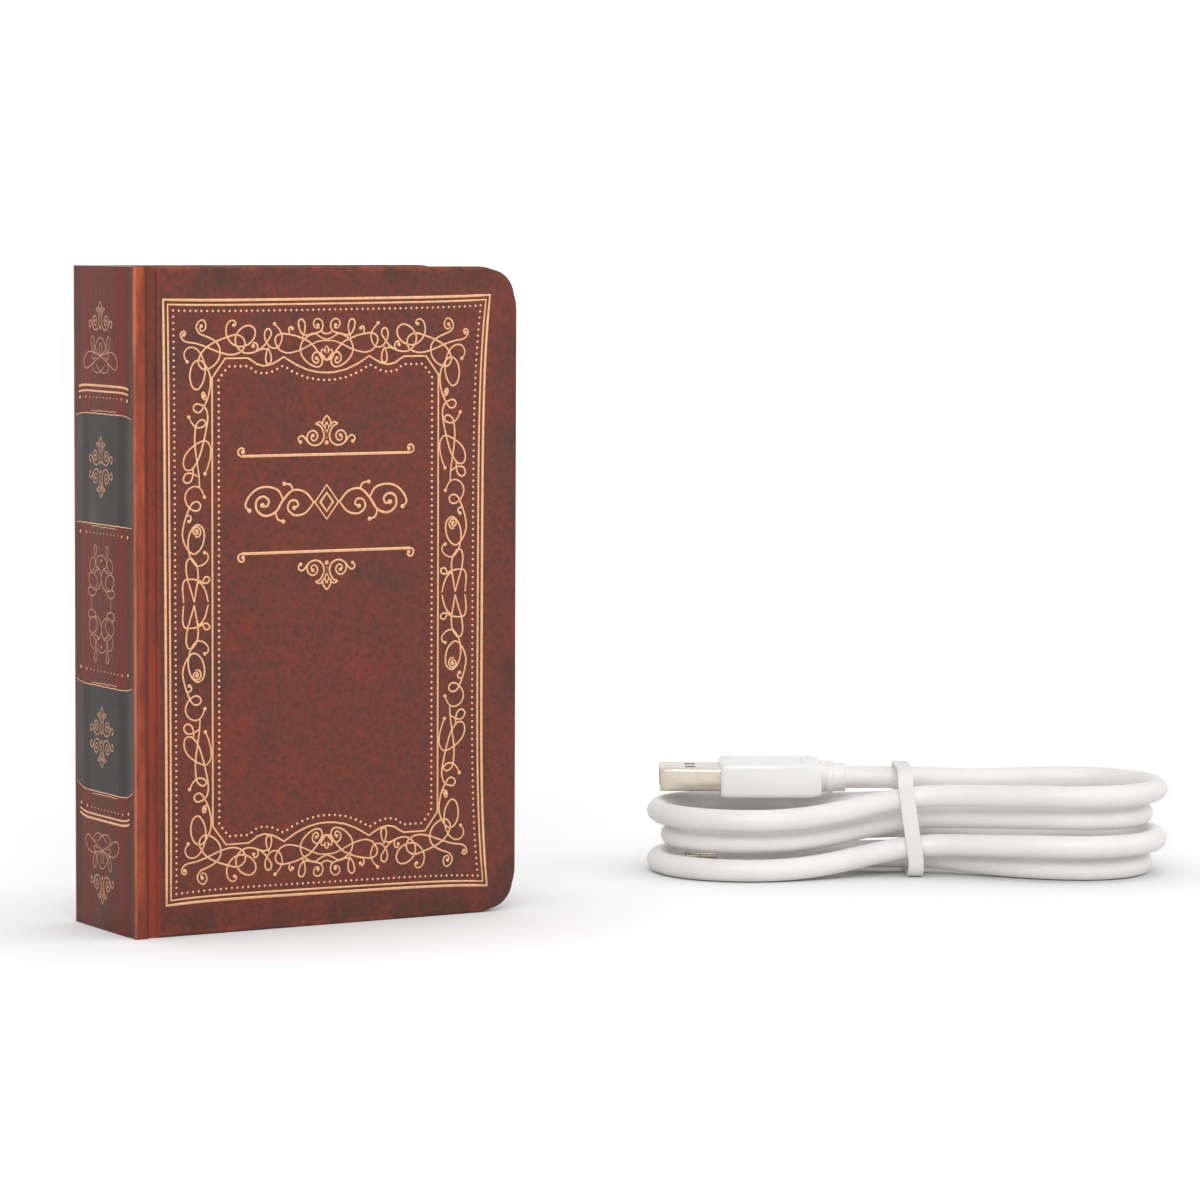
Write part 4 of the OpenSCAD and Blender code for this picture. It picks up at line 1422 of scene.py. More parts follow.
# The traditional flourish of the front cover's border, drawn for its top left quarter.
BORDER_QUARTER: tuple[Stroke, ...] = (
    Stroke(((9.7, 107.86), (10.1, 108.16), (9.7, 108.56), (9.11, 108.16), (9.21, 107.46), (9.9, 106.77),
            (12.08, 106.37), (14.27, 105.68), (16.95, 104.68), (19.33, 104.29), (21.12, 104.88),
            (21.82, 105.97), (21.52, 107.17), (20.23, 107.86), (18.04, 107.37), (16.06, 106.67),
            (14.07, 105.58), (12.88, 104.09), (12.58, 102.9), (13.38, 101.8), (14.77, 101.9),
            (16.26, 103.0), (16.85, 104.29), (16.75, 105.68), (15.86, 106.77), (14.27, 107.56),
            (12.78, 108.16), (12.18, 109.25), (12.68, 110.24), (13.48, 110.54), (14.07, 109.75),
            (13.87, 108.85), (13.18, 108.56), (12.88, 109.05), (13.18, 109.45)), balls=(True, True)),
    Stroke(((10.4, 103.1), (9.9, 103.79), (9.8, 104.58), (10.4, 105.48), (11.49, 105.68), (12.58, 105.08),
            (13.48, 103.69), (13.87, 102.2), (13.87, 100.81), (13.38, 99.22), (12.38, 98.13),
            (11.49, 98.53), (10.99, 99.82), (10.99, 101.41), (11.59, 102.8), (12.58, 103.39),
            (13.38, 103.1), (14.27, 102.0), (14.87, 100.61), (14.96, 99.02), (14.57, 97.04),
            (13.77, 95.25), (12.78, 94.06), (11.89, 94.26), (11.59, 94.95), (12.08, 95.55),
            (12.98, 95.45), (13.87, 94.95), (14.37, 93.76), (14.37, 92.37), (14.07, 90.78), (13.38, 88.0),
            (12.38, 85.32), (11.09, 83.83), (10.0, 83.93), (9.6, 85.12), (10.2, 86.81), (11.99, 88.3),
            (13.97, 88.99), (14.87, 88.0), (14.96, 86.41), (14.47, 84.43), (13.87, 83.04)),
           balls=(True, True)),
    Stroke(((19.63, 109.55), (20.03, 109.65), (19.83, 110.24), (19.23, 110.44), (18.44, 109.95),
            (18.04, 108.56), (18.34, 107.37), (19.14, 106.37), (20.23, 105.78), (21.52, 105.78),
            (22.91, 106.37), (23.8, 107.56), (23.8, 108.76), (22.91, 109.45), (21.82, 109.35),
            (20.62, 108.56), (19.93, 107.37), (20.03, 106.17), (20.72, 105.18), (21.82, 104.58),
            (23.11, 104.58), (24.4, 104.98), (25.59, 105.78), (26.48, 106.87), (27.08, 107.86),
            (26.88, 108.66), (26.28, 108.85), (25.79, 108.16), (25.89, 106.97), (26.68, 105.78),
            (27.58, 105.38), (28.47, 105.58), (28.97, 106.27), (29.26, 107.46), (28.77, 108.66),
            (27.77, 109.75)), balls=(True, True)),
    Stroke(((23.5, 105.78), (23.6, 106.37), (24.1, 106.27), (24.4, 105.58), (24.1, 104.98)),
           balls=(True, False)),
    Stroke(((26.48, 105.48), (26.09, 104.39), (25.99, 103.19), (26.28, 102.6), (26.88, 102.7),
            (27.08, 103.19), (26.98, 104.29), (26.48, 105.48)), balls=(False, False)),
    Stroke(((24.7, 105.08), (25.39, 105.28), (26.19, 105.18))),
    Stroke(((36.51, 109.45), (36.71, 109.05), (36.12, 108.95), (35.62, 109.65), (35.82, 110.34),
            (36.51, 110.64), (37.31, 110.15), (37.51, 109.15), (37.01, 108.36), (35.82, 107.96),
            (34.43, 107.46), (33.33, 106.47), (32.94, 105.08), (33.33, 103.89), (34.73, 102.5),
            (36.31, 101.9), (37.01, 102.1), (37.41, 102.9), (36.91, 104.09), (35.82, 105.48),
            (34.73, 106.47), (33.33, 107.07), (32.04, 107.56), (30.46, 107.86), (29.07, 107.96),
            (28.07, 107.46), (27.87, 106.57), (28.37, 105.58), (28.87, 104.98), (30.26, 104.49),
            (31.75, 104.68), (33.14, 105.08), (34.92, 105.88), (36.71, 106.57), (38.4, 106.67)),
           balls=(True, False)),
    Stroke(((31.35, 108.85), (31.05, 109.25), (30.65, 108.85), (30.75, 107.96)), balls=(True, False)),
    Stroke(((33.33, 107.07), (33.83, 108.46), (33.83, 109.85), (33.24, 110.54), (32.64, 110.24),
            (32.64, 109.25), (33.24, 107.96), (34.23, 107.66), (35.82, 107.96), (37.11, 107.27),
            (38.4, 106.77))),
    Stroke(((36.21, 103.49), (36.61, 103.19), (36.31, 102.6), (35.52, 103.0), (35.42, 103.89),
            (36.12, 104.58), (37.01, 104.29), (37.41, 103.1)), balls=(True, False)),
    Stroke(((37.31, 103.89), (37.7, 103.29), (38.4, 103.1))),
    Stroke(((37.11, 108.46), (37.6, 108.06), (38.4, 107.86))),
    Stroke(((13.77, 96.94), (13.87, 97.34), (13.48, 97.63), (13.28, 97.14), (13.48, 96.54),
            (14.07, 96.34), (14.47, 96.74)), balls=(True, False)),
    Stroke(((10.69, 93.26), (11.29, 92.17), (12.18, 91.38), (13.48, 91.48), (14.07, 92.17),
            (13.38, 92.77), (12.28, 92.07), (11.89, 90.19), (11.89, 88.1), (12.28, 85.32), (12.68, 82.64),
            (12.78, 80.75)), balls=(True, False)),
    Stroke(((11.49, 84.33), (11.49, 82.94), (11.09, 81.84), (10.2, 81.45), (9.6, 82.04), (10.0, 83.04),
            (11.09, 83.24), (12.58, 82.54))),
    Stroke(((13.77, 78.87), (13.28, 79.96), (12.68, 80.65), (11.69, 80.85), (10.5, 80.26), (9.9, 78.97),
            (10.4, 77.48), (11.69, 76.48), (12.68, 76.68), (12.98, 77.48), (12.38, 78.07), (11.39, 77.87),
            (10.4, 76.18), (9.6, 73.8), (9.4, 71.91), (10.3, 69.73), (11.59, 68.74), (12.98, 69.63),
            (13.67, 71.52), (13.48, 73.21), (12.38, 74.0), (11.19, 73.11), (10.5, 71.12), (10.69, 68.94),
            (11.29, 67.55), (12.18, 66.65), (13.38, 66.75), (14.47, 67.84), (14.27, 68.74),
            (13.77, 68.94)), balls=(True, True)),
    Stroke(((10.69, 74.6), (11.09, 74.89), (10.99, 75.49), (10.3, 75.69), (10.0, 75.19)),
           balls=(True, False)),
    Stroke(((12.18, 72.91), (12.48, 72.71), (12.08, 72.21), (11.49, 72.71), (11.79, 73.5), (12.48, 73.5),
            (12.98, 72.81), (12.68, 71.91), (11.89, 71.82)), balls=(True, False)),
    Stroke(((11.29, 67.94), (10.5, 67.84), (10.1, 66.75), (10.3, 64.57), (10.99, 62.38), (11.69, 60.1))),
    Stroke(((11.29, 67.94), (12.18, 66.65), (12.48, 64.77), (12.08, 62.28), (11.69, 60.1))),
    Stroke(((12.38, 63.57), (13.28, 63.67), (13.87, 64.57), (14.67, 64.37), (14.67, 63.87),
            (14.17, 63.47), (13.28, 63.57), (12.68, 64.07))),
    Stroke(((10.69, 64.27), (9.8, 64.07), (9.4, 62.98), (9.6, 60.1))),
    Stroke(((10.69, 64.27), (12.18, 64.07), (13.67, 62.58), (14.47, 60.1))),
    Stroke(((38.2, 103.2), (37.7, 103.8), (37.2, 104.4), (37.3, 105.0), (37.8, 104.9), (38.1, 104.4)),
           0.26),
    Stroke(((38.05, 104.5), (37.95, 105.1), (38.2, 105.7)), 0.26),
)

# Right half of the lily over a rule, from the rule's middle up.
LILY: tuple[Stroke, ...] = (
    Stroke(((0.0, 7.1), (0.38, 6.65), (0.7, 6.15), (0.86, 5.7), (0.8, 5.3), (0.5, 5.0)), 0.3),
    Stroke(((0.86, 5.45), (1.15, 5.75), (1.6, 5.86), (2.2, 5.55), (1.75, 5.38), (1.3, 5.12), (0.82, 4.41),
            (0.56, 3.6), (0.64, 2.9), (1.05, 2.2), (1.75, 1.76), (2.5, 1.66), (3.25, 1.88), (3.8, 2.36),
            (4.0, 3.0), (3.84, 3.68), (3.4, 4.16), (2.8, 4.36), (2.27, 4.14), (1.87, 3.55), (2.02, 2.88),
            (2.56, 2.5), (3.08, 2.78), (3.15, 3.25), (2.8, 3.45)), 0.3, (False, True)),
    Stroke(((3.3, 1.95), (3.75, 2.2), (4.15, 2.65), (4.58, 3.18), (5.13, 3.45), (5.66, 3.14), (5.72, 2.6),
            (5.3, 2.3)), 0.3, (False, True)),
    Stroke(((0.0, 5.9), (0.26, 5.2), (0.32, 4.9), (0.0, 4.1)), 0.36, curved=False),
    Stroke(((0.0, 5.35), (0.0, 4.5)), 0.62, curved=False),
    Stroke(((0.0, 4.4), (0.0, 2.8)), 0.26),
)

# Right half of the scroll between the rules, from its middle.
SCROLL: tuple[Stroke, ...] = (
    Stroke(((2.6, 0.0), (4.4, 1.9), (6.8, 2.3), (8.8, 0.6), (10.4, -1.6), (12.6, -2.2), (14.2, -1.0),
            (14.1, 0.7), (12.8, 1.3), (11.7, 0.5), (12.1, -0.5), (13.0, -0.3)), 0.4, (False, True)),
    Stroke(((2.6, 0.0), (4.4, -1.9), (6.6, -2.2), (7.9, -1.0), (7.4, 0.3), (6.2, 0.4), (5.8, -0.5),
            (6.6, -0.9)), 0.36, (False, True)),
    Stroke(((8.8, 0.6), (9.8, 2.3), (11.8, 3.0), (14.0, 2.7), (15.8, 1.2), (16.4, -0.4), (15.6, -1.2)),
           0.36, (False, True)),
    Stroke(((6.8, 2.3), (7.4, 3.3), (8.6, 3.5)), 0.34, (False, True)),
    Stroke(((10.4, -1.6), (9.9, -2.9), (8.8, -3.3)), 0.34, (False, True)),
)

# Right half of the knot at the head and foot of the spine, from its crossing.
KNOT: tuple[Stroke, ...] = (
    Stroke(((0.0, 0.0), (1.6, 0.45), (3.4, 0.8), (5.0, 0.75), (6.3, 0.2), (7.1, -0.7), (7.0, -1.7),
            (6.2, -2.25), (5.0, -2.0), (3.2, -1.2), (1.5, -0.5), (0.0, 0.0)), 0.24),
    Stroke(((0.1, 0.1), (1.6, 0.9), (2.6, 1.8), (2.75, 2.9), (3.3, 3.6), (3.95, 3.0), (3.8, 1.9),
            (3.2, 1.0), (2.5, 0.2)), 0.22),
    Stroke(((0.0, 3.4), (1.0, 3.1), (1.9, 2.2), (2.5, 1.2), (3.2, 0.4), (3.6, -0.3), (3.0, -0.5),
            (1.6, -0.1)), 0.22),
    Stroke(((0.0, 2.5), (0.5, 1.9), (0.55, 1.2), (0.0, 0.1)), 0.2),
    Stroke(((-1.9, -1.4), (-0.6, -2.4), (1.2, -2.95), (2.8, -2.7), (3.5, -2.0), (3.0, -1.3)), 0.22),
)

# Right upper quarter of the knots in the spine's middle panel.
PANEL_KNOT: tuple[Stroke, ...] = (
    Stroke(((2.42, 8.3), (2.0, 9.8), (2.5, 10.6), (3.15, 9.95), (2.9, 9.1), (2.42, 8.3)), 0.22),
    Stroke(((0.0, 8.9), (1.4, 8.45), (2.3, 7.7), (2.0, 6.7), (0.9, 6.3), (0.3, 5.6), (0.0, 4.3),
            (0.7, 3.1), (2.4, 2.4), (4.2, 2.8), (5.3, 3.9), (5.15, 5.0), (4.0, 5.5), (2.5, 5.0),
            (1.7, 3.9), (2.2, 3.0), (3.4, 2.6)), 0.22),
    Stroke(((3.4, 8.35), (4.4, 7.85), (4.9, 6.7), (4.5, 5.8), (3.2, 6.1), (2.55, 7.0), (2.65, 7.9),
            (3.4, 8.35)), 0.2),
    Stroke(((2.1, 2.4), (2.8, 1.6), (4.2, 1.25), (5.4, 1.7), (5.6, 2.4), (4.9, 2.75)),
           0.22, (False, True)),
    Stroke(((4.1, 1.25), (4.1, 0.0)), 0.2, curved=False),
    Stroke(((0.9, 6.3), (1.8, 6.1), (2.5, 5.7)), 0.22, (False, True)),
)


@dataclass
class Tooling:
    """Gold leaf on the leather: thin raised lines and dots that stand a little proud of it."""

    name: str
    body: str
    matrix: Matrix
    strokes: list[Stroke] = field(default_factory=list)
    dots: list[tuple[float, float, float]] = field(default_factory=list)
    height: float = 0.22
    finish: ExtraFinish = ExtraFinish.gold
    pressed: Callable[[Point2], Point2] = lambda p: p

    def line(self, *strokes: Stroke) -> None:
        """Add strokes, where the die presses them."""
        self.strokes.extend(replace(s, points=tuple(self.pressed(p) for p in s.points)) for s in strokes)

    def dot(self, x: float, y: float, radius: float = 0.22) -> None:
        """Add one dot, where the die presses it."""
        self.dots.append((*self.pressed((x, y)), radius))

    def figure(self, strokes: Sequence[Stroke], at: Point2, scale: Point2 = (1.0, 1.0),
               width: float = 1.0) -> None:
        """Add a figure drawn for its right half, and its mirrored half.

        Args:
            strokes: Strokes of the half.
            at: The figure's origin.
            scale: Its size across and up; a negative second one turns it upside down.
            width: Factor on the strokes' widths.
        """
        for mirror in (-1, 1):
            for s in strokes:
                points = tuple((at[0] + mirror * x * scale[0], at[1] + y * scale[1]) for x, y in s.points)
                self.line(replace(s, points=points, width=s.width * width))

    def dot_row(self, points: Sequence[Point2], step: float = 1.11, radius: float = 0.22,
                start: float = 0.0) -> None:
        """Add dots at an even step along a broken line, but none on its last point.

        Args:
            points: The line.
            step: Roughly the distance from dot to dot.
            radius: The dots' radius.
            start: The first dot's distance from the line's start, in steps.
        """
        path = [Vector((*p, 0.0)) for p in points]
        spans = [(a, b, (b - a).length) for a, b in zip(path, path[1:])]
        total = sum(length for _, _, length in spans)
        count = max(1, round(total / step))
        for i in range(count):
            rest = (i + start) * total / count
            for a, b, length in spans:
                if rest <= length:
                    at = a.lerp(b, rest / length)
                    self.dot(at.x, at.y, radius)
                    break
                rest -= length

    def build(self) -> Piece:
        """Press all strokes and dots as one piece.

        Returns:
            The gold, riding on its body.
        """
        deselect_all()
        bpy.ops.curve.primitive_bezier_curve_add()
        drawing = bpy.context.object
        drawing.name = drawing.data.name = self.name
        curve = drawing.data
        curve.splines.clear()
        curve.dimensions = "3D"
        curve.bevel_depth = 0.5
        curve.bevel_resolution = 1
        curve.use_fill_caps = True
        for stroke in self.strokes:
            self._draw(curve, stroke)
        drawing.matrix_world = Matrix.Identity(4)
        take(drawing)
        bpy.ops.object.convert(target="MESH")
        gold = bpy.context.object
        with Bench(gold) as bench:
            bpy.ops.mesh.select_all(action="SELECT")
            bench.resize((1, 1, self.height), (0, 0, 0))
        balls = [(*s.points[-last], s.width * 1.2) for s in self.strokes for last in (0, 1) if s.balls[last]]
        dots = self._stamped([*self.dots, *balls])
        take(gold)
        dots.select_set(True)
        bpy.ops.object.join()
        place(finish_mesh(gold, 60), self.matrix)
        dress(gold, self.finish)
        return hang(gold, self.body)

    @staticmethod
    def _draw(curve: bpy.types.Curve, stroke: Stroke) -> None:
        """Lay one stroke into the drawing, a little finer towards its free ends."""
        if stroke.curved:
            path = smooth_line(stroke.points, 4, stroke.closed)
        else:
            path = [Vector((*p, 0.0)) for p in stroke.points]
        spline = curve.splines.new("POLY")
        spline.points.add(len(path) - 1)
        for i, (point, at) in enumerate(zip(spline.points, path)):
            point.co = (*at, 1.0)
            reach = min(i, len(path) - 1 - i) / max(len(path) - 1, 1)
            swell = 1.0 if stroke.closed or not stroke.curved else 0.85 + 0.2 * min(reach * 4, 1.0)
            point.radius = stroke.width * swell
        spline.use_cyclic_u = stroke.closed
        spline.use_smooth = True

    def _stamped(self, places: Sequence[tuple[float, float, float]]) -> Piece:
        """Copy one low dome to every dot's place.

        Args:
            places: Middle and radius of each dot.

        Returns:
            One object that holds all the dots.
        """
        deselect_all()
        bpy.ops.mesh.primitive_uv_sphere_add(segments=10, ring_count=6, radius=1.0,
                                             scale=(1, 1, self.height * 1.3))
        dome = bpy.context.object
        settle(dome)
        stamped = bmesh.new()
        for x, y, radius in places:
            start = len(stamped.verts)
            stamped.from_mesh(dome.data)
            stamped.verts.ensure_lookup_table()
            for vert in stamped.verts[start:]:
                vert.co = Vector((x + vert.co.x * radius, y + vert.co.y * radius, vert.co.z * radius))
        stamped.to_mesh(dome.data)
        stamped.free()
        return dome


@dataclass
class CoverTooling:
    """The front cover's gold: frame, dotted rows, flourished border, two lilies, two rules and a scroll."""

    middle: Point2 = (38.3, 59.85)
    corners: tuple[Point2, ...] = ((6.1, 5.75), (71.8, 5.0), (72.1, 114.75), (5.7, 114.2))
    bows: tuple[float, ...] = (0.55, 1.4, 0.27, 0.12)
    rules: Point2 = (86.05, 68.5)
    inner: float = 0.86
    dotted: float = 1.95
    title_y: float = 77.4
    back_corners: tuple[Point2, ...] = ((6.0, 5.4), (72.0, 5.4), (72.0, 114.6), (6.0, 114.6))
    back_bows: tuple[float, ...] = (0.3, 0.3, 0.3, 0.3)

    def build(self) -> None:
        """Tool the front cover, and draw a plain frame on the back."""
        b = BOOK
        tip = Matrix.Rotation(math.pi / 2, 4, "X")
        scale = Matrix.Scale(MM, 4)
        front = Tooling("front_gold_tooling", "front_cover",
                        Matrix.Translation((b.x(0), b.front_y(0), 0)) @ tip @ scale)
        self._frame(front, self.corners, self.bows)
        for stroke in BORDER_QUARTER:
            self._four(front, stroke)
        self._panel(front)
        for y, sign in zip(self.rules, (1, -1)):
            front.figure(LILY, (self.middle[0], y), (1.0, sign))
            front.dot(self.middle[0], y + sign * 2.13, 0.42)
            self._rule(front, y, sign)
        front.figure(SCROLL, (self.middle[0], self.title_y))
        for size, width in ((2.4, 0.36), (1.3, 0.5)):
            self._lozenge(front, (self.middle[0], self.title_y), size, width)
        front.build()
        back = Tooling("back_gold_tooling", "back_cover",
                       Matrix.Rotation(math.pi, 4, "Z")
                       @ Matrix.Translation((b.x(0), b.front_y(0), 0)) @ tip @ scale)
        self._frame(back, self.back_corners, self.back_bows)
        back.build()

    def _frame(self, gold: Tooling, corners: Sequence[Point2], bows: Sequence[float]) -> None:
        """Draw the double frame and its dotted row.

        Args:
            gold: The tooling that it joins.
            corners: The four corners of the outer line, from the lower left one round.
            bows: How far each side bows in at its middle, from the lower one round.
        """
        cx = sum(x for x, _ in corners) / 4
        cy = sum(y for _, y in corners) / 4
        inward = ((0, 1), (-1, 0), (0, -1), (1, 0))

        def sides(by: float) -> list[list[Point2]]:
            """The four sides as fine broken lines, all drawn in."""
            at = [(x + math.copysign(by, cx - x), y + math.copysign(by, cy - y)) for x, y in corners]
            made = []
            for (x0, y0), (x1, y1), (dx, dy), bow in zip(at, at[1:] + at[:1], inward, bows):
                shares = [(i / 24, bow * (1 - abs(i / 12 - 1) ** 4.6)) for i in range(25)]
                made.append([(x0 + (x1 - x0) * t + dx * d, y0 + (y1 - y0) * t + dy * d) for t, d in shares])
            return made

        for by, width in ((0.0, 0.47), (self.inner, 0.34)):
            outline = tuple(p for side in sides(by) for p in side[:-1])
            gold.line(Stroke(outline, width, closed=True, curved=False))
        for side in sides(self.dotted):
            gold.dot_row(side)

    def _four(self, gold: Tooling, stroke: Stroke) -> None:
        """Add a stroke to all four quarters."""
        for across in (False, True):
            for up in (False, True):
                gold.line(stroke.mirrored(across, up, self.middle))

    def _panel(self, gold: Tooling) -> None:
        """Draw the scalloped panel inside the border, and its dotted row."""
        cx, cy = self.middle
        edge = ((15.3, cy), (15.3, 80.0), (15.3, 100.2), (17.9, 103.65), (22.4, 103.65),
                (23.4, 103.1), (24.2, 102.55), (25.6, 102.2), (27.2, 102.5), (28.4, 103.1), (29.6, 103.8),
                (30.6, 103.2), (32.2, 102.3), (34.4, 101.4), (36.6, 100.95), (cx, 100.85))
        dots = ((16.6, cy), (16.6, 99.9), (18.5, 102.2), (22.6, 102.2), (23.8, 101.2), (25.6, 100.8),
                (27.4, 101.2), (29.5, 102.2), (31.6, 101.0), (34.2, 100.0), (36.6, 99.6), (cx, 99.5))
        self._four(gold, Stroke(edge, 0.32, curved=False))
        for across in (False, True):
            for up in (False, True):
                gold.dot_row(Stroke(dots).mirrored(across, up, self.middle).points, 1.13, 0.24, 0.5)

    def _rule(self, gold: Tooling, y: float, sign: int) -> None:
        """Draw one rule, whose two ends curl away from the other rule."""
        cx = self.middle[0]
        gold.line(Stroke(((cx - 17.1, y), (cx + 17.1, y)), 0.5, curved=False))
        curl = ((16.8, 0.0), (17.4, 0.02), (17.85, 0.45), (17.8, 1.05), (17.35, 1.45), (16.85, 1.35),
                (16.65, 0.95), (16.9, 0.7))
        gold.figure((Stroke(curl, 0.32, (False, True)),), (cx, y), (1.0, sign))

    @staticmethod
    def _lozenge(gold: Tooling, at: Point2, size: float, width: float) -> None:
        """Draw a lozenge's outline."""
        (x, y), tall = at, size * 1.3
        gold.line(Stroke(((x - size, y), (x, y + tall), (x + size, y), (x, y - tall)), width, closed=True,
                         curved=False))


@dataclass
class SpineTooling:
    """The spine's gold: lilies, knots, double lines, dotted rows and the uneven edges of its labels."""

    half: float = 10.6
    middle: float = -1.2
    panel_z: float = 59.2
    lilies: tuple[tuple[float, int], ...] = ((106.95, 1), (11.35, -1))
    bars: tuple[Point2, ...] = ((98.55, 0.42), (97.55, 0.34), (20.75, 0.34), (19.9, 0.42))
    dot_rows: tuple[float, ...] = (96.4, 71.9, 47.0, 21.9)

    def build(self) -> None:
        """Tool the spine: bright lines and dots, and rubbed figures."""
        lines = self._tooling("spine_gold_tooling", ExtraFinish.gold)
        figures = self._tooling("spine_worn_tooling", ExtraFinish.worn_gold)
        for y, sign in self.lilies:
            self._lily(figures, y, sign)
        figures.figure(KNOT, (self.middle, 103.8), width=0.8)
        figures.figure(KNOT, (self.middle, 14.5), (1.0, -1.0), 0.8)
        for y, width in self.bars:
            lines.line(Stroke(tuple((self.half * i / 8, y) for i in range(-8, 9)), width, curved=False))
        for y in self.dot_rows:
            self._dots(lines, y)
        for low, high in SPINE_LABELS:
            for y, sign in ((low, -1), (high, 1)):
                self._edge(lines, y, 0.17, 0.04)
                self._edge(lines, y + sign * 0.5, 0.12, 0.1, 0.45)
            for sign in (-1, 1):
                self._lily(figures, (low + high) / 2 + 0.35 - sign * 1.2, sign)
        for sign in (-1, 1):
            figures.figure(PANEL_KNOT, (self.middle, self.panel_z), (1.0, sign), 0.85)
            figures.dot(self.middle, self.panel_z + sign * 7.8, 0.3)
        lines.build()
        figures.build()

    def _tooling(self, name: str, finish: ExtraFinish) -> Tooling:
        """Start a tooling that is drawn on the spine's outer face."""
        turn = Matrix(((0, 0, -1, 0), (-1, 0, 0, 0), (0, 1, 0, 0), (0, 0, 0, 1)))
        return Tooling(name, "spine", Matrix.Translation((BOOK.x(0), 0, 0)) @ turn @ Matrix.Scale(MM, 4),
                       finish=finish, pressed=self._pressed)

    @staticmethod
    def _pressed(at: Point2) -> Point2:
        """Draw the lines in towards the spine's middle height near its sides."""
        reach = min(max((abs(at[0]) - ARCH.start) / (ARCH.end - ARCH.start), 0.0), 1.0)
        return at[0], at[1] + (ARCH.centre_z - at[1]) * ARCH.share * reach ** ARCH.power

    def _lily(self, gold: Tooling, y: float, sign: int) -> None:
        """Place one small lily on the spine's middle line."""
        gold.figure(LILY, (self.middle, y), (0.85, 0.95 * sign), 0.78)
        gold.dot(self.middle, y + sign * 2.02, 0.32)

    def _dots(self, gold: Tooling, y: float) -> None:
        """Draw one row of fine dots that ends in two larger ones on each side."""
        for i in range(-4, 5):
            gold.dot(i * 1.45, y, 0.15)
        for x, radius in ((7.6, 0.24), (10.1, 0.33)):
            gold.dot(-x, y, radius)
            gold.dot(x, y, radius)

    def _edge(self, gold: Tooling, y: float, width: float, wander: float, reach: float = 1.0) -> None:
        """Draw one uneven gold line along a label's edge.

        Args:
            gold: The tooling that it joins.
            y: Its height.
            width: Its width.
            wander: How far it strays up and down.
            reach: The share of the spine's width that it covers.
        """
        rng = random.Random(round(y * 10))
        half = 11.9 * reach
        count = round(26 * reach)
        gold.line(Stroke(tuple((half * (2 * i / count - 1), y + rng.uniform(-wander, wander))
                               for i in range(count + 1)), width))


# --- Bellows and light bar ---


